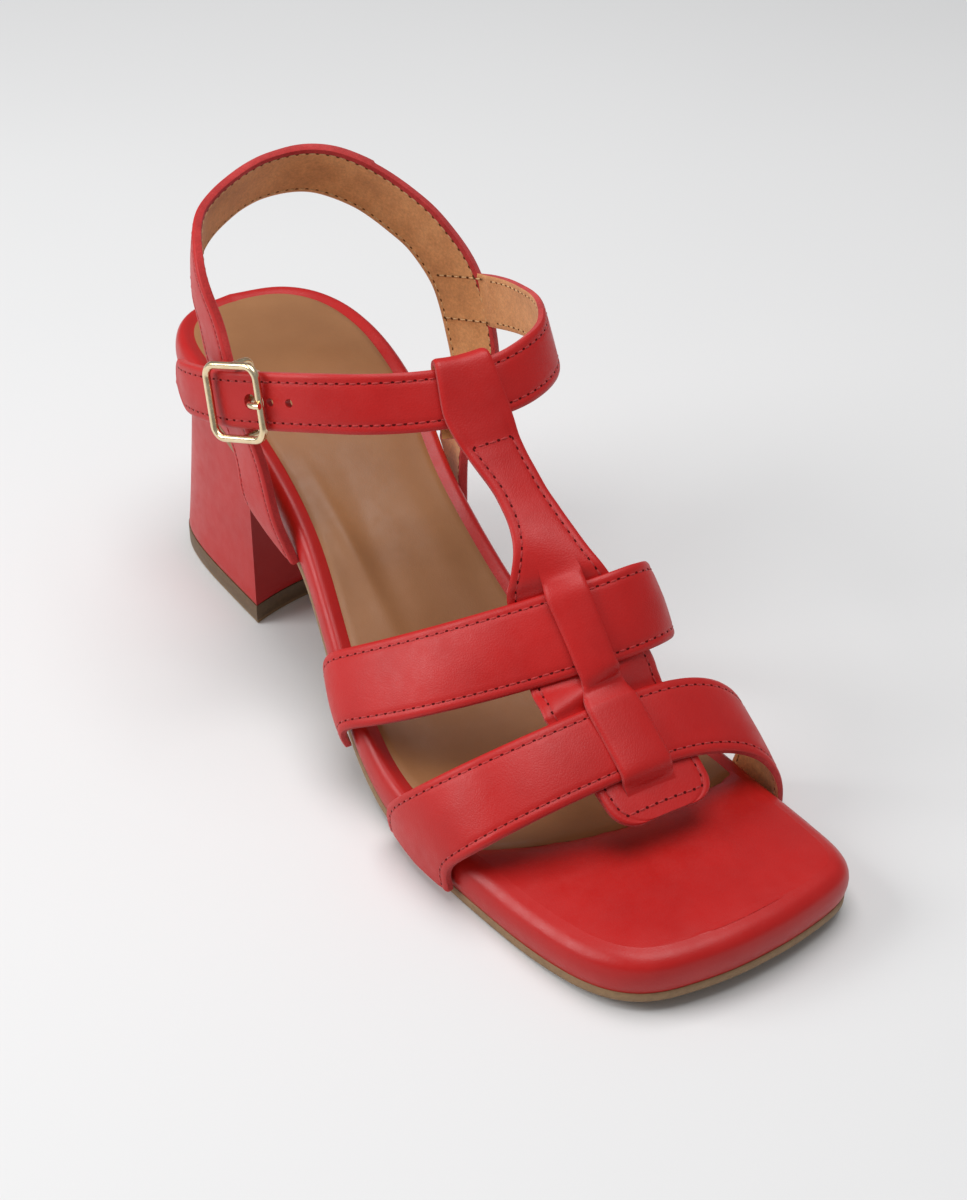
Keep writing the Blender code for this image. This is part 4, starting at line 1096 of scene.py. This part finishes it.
def wire(name, points, radius, cyclic, node):
    """Round polished wire along points, as a mesh piece."""
    curve = bpy.data.curves.new(name + "_line", "CURVE")
    curve.dimensions = "3D"
    curve.bevel_depth = radius * MM
    curve.bevel_resolution = WIRE_ROUNDNESS
    curve.use_fill_caps = True
    spline = curve.splines.new("POLY")
    spline.points.add(len(points) - 1)
    for knot, point in zip(spline.points, points):
        knot.co = (*((point - MID) * MM), 1.0)
    spline.use_cyclic_u = cyclic
    drawn = add_object(name + "_line", curve)
    mesh = final_mesh(drawn)
    bpy.data.objects.remove(drawn, do_unlink=True)
    mesh.materials.clear()
    mesh.materials.append(GOLD)
    mesh.shade_smooth()
    shoe_piece(name, mesh, node)


loop = []
for quarter, (sign_a, sign_o) in enumerate(((1, 1), (-1, 1), (-1, -1), (1, -1))):
    for angle in np.linspace(0.0, math.pi / 2, 12) + quarter * math.pi / 2:
        end = BUCKLE_REAR if sign_a > 0 else BUCKLE_FRONT
        along = end - sign_a * BUCKLE_CORNER + BUCKLE_CORNER * math.cos(angle)
        over = sign_o * (BUCKLE_HALF_HEIGHT - BUCKLE_CORNER) + BUCKLE_CORNER * math.sin(angle)
        loop.append(at_buckle(along, BUCKLE_OUT, over))
wire("buckle_bow", loop, BUCKLE_WIRE, True, "buckle_frame")
bar_line = soften(resample([at_buckle(0.0, *row) for row in BAR], 90), 1.0)
wire("buckle_bar", bar_line, BAR_WIRE, False, "buckle_frame")
wire("buckle_pin", [at_buckle(*row) for row in curve_through(PRONG, 40)], PRONG_WIRE, False, "buckle_prong")
eye = BAR_WIRE + EYE_GAP + PRONG_WIRE
wire("buckle_pin_eye", [at_buckle(eye * c, BAR_OUT + eye * s) for c, s in circle(40)], PRONG_WIRE, True,
     "buckle_prong")

FOLD_GAP, PIN_SLOT, PIN_SLOT_HALF = 0.3, 4.4, 0.4
RIB_PITCH, RIB_HEIGHT, RIBS_PER_TILE = 1.3, 0.1, 8.0
BOX_FACES = ((4, 6, 2, 0), (3, 7, 5, 1), (1, 5, 4, 0), (6, 7, 3, 2), (2, 3, 1, 0), (5, 7, 6, 4))


def make_elastic():
    """Ribbed elastic from inside the sling, folded round the buckle's bar, open there for the pin."""
    fold = BAR_WIRE + FOLD_GAP + ELASTIC_THICK / 2
    centre, forward, outward, across = ankle_station(buckle_run)
    start = np.array(ELASTIC_SEAM)
    start = start - ((start - centre) @ across) * across
    route = [start]
    for angle in np.linspace(-math.pi / 2, -3 * math.pi / 2, 24):
        route.append(at_buckle(fold * math.cos(angle), BAR_OUT + fold * math.sin(angle)))
    route.append(at_buckle(ELASTIC_END[0], BAR_OUT + ELASTIC_END[1]))
    line = soften(resample(route, 160), 1.5)
    run = run_length(line)
    normal = unit(np.cross(np.gradient(line, axis=0), across))
    near_bar = norm(line - at_buckle(0.0, BAR_OUT), axis=1) < PIN_SLOT
    ends = (-1.0, -PIN_SLOT_HALF, PIN_SLOT_HALF, 1.0)
    verts, faces, places = [], [], []
    for n, (low, high) in enumerate(zip(ends, ends[1:])):
        for a in range(len(line) - 1):
            if n == 1 and near_bar[a:a + 2].any():
                continue
            k = len(verts)
            for i, v, side in ((i, v, side) for i in (a, a + 1) for v in (low, high) for side in (1, -1)):
                rib = RIB_HEIGHT * math.sin(run[i] * 2 * math.pi / RIB_PITCH)
                verts.append(line[i] + v * ELASTIC_WIDTH / 2 * across
                             + side * (ELASTIC_THICK + rib) / 2 * normal[i])
                places.append((run[i] / RIB_PITCH / RIBS_PER_TILE, 0.5 + 0.5 * v))
            faces += [tuple(k + corner for corner in face) for face in BOX_FACES]
    piece = place_piece("elastic_band", verts, faces, (ELASTIC,), [0] * len(faces), "elastic_tab",
                        sharp=60.0)
    layer = piece.data.uv_layers.new(name="weave")
    for face in piece.data.polygons:
        for corner, vert in zip(face.loop_indices, face.vertices):
            layer.data[corner].uv = places[vert]


make_elastic()


# Floor, light and camera

def aim(made, place, target):
    made.location = place
    made.rotation_euler = (Vector(target) - Vector(place)).to_track_quat("-Z", "Y").to_euler()


FLOOR = 6.0
mesh = bpy.data.meshes.new("floor")
corners = [(-FLOOR, -FLOOR, 0), (FLOOR, -FLOOR, 0), (FLOOR, FLOOR, 0), (-FLOOR, FLOOR, 0)]
mesh.from_pydata(corners, [], [(0, 1, 2, 3)])
mesh.materials.append(material("pale_floor", backdrop, dark=0.755, light=0.775))
floor = add_object("floor", mesh)

world = bpy.data.worlds.new("studio")
world.use_nodes = True
settle(world.node_tree.nodes["Background"], {"Color": (0.92, 0.93, 0.95, 1.0), "Strength": 0.28})
scene.world = world
LIGHT_AIM = (0.0, 0.0, 0.05)
LIGHTS = (
    # name, place, size, power
    ("overhead", (0.02, 0.05, 1.35), 1.0, 13.0), ("key", (-0.40, -0.85, 0.62), 0.6, 6.6),
)
for name, place, size, power in LIGHTS:
    data = bpy.data.lights.new(name, "AREA")
    data.shape = "RECTANGLE"
    data.size = data.size_y = size
    data.energy = power
    aim(add_object(name, data), place, LIGHT_AIM)

CAMERA_PLACE, CAMERA_AIM = (484.1, -232.5, 341.3), (0.0085, 0.0015, 0.0395)
data = bpy.data.cameras.new("view")
data.sensor_fit = "VERTICAL"
data.sensor_height = 36.0
data.lens = 62.4
data.clip_start = 0.01
scene.camera = add_object("view", data)
aim(scene.camera, (CAMERA_PLACE - MID) * MM, CAMERA_AIM)
scene.view_settings.view_transform = "Standard"
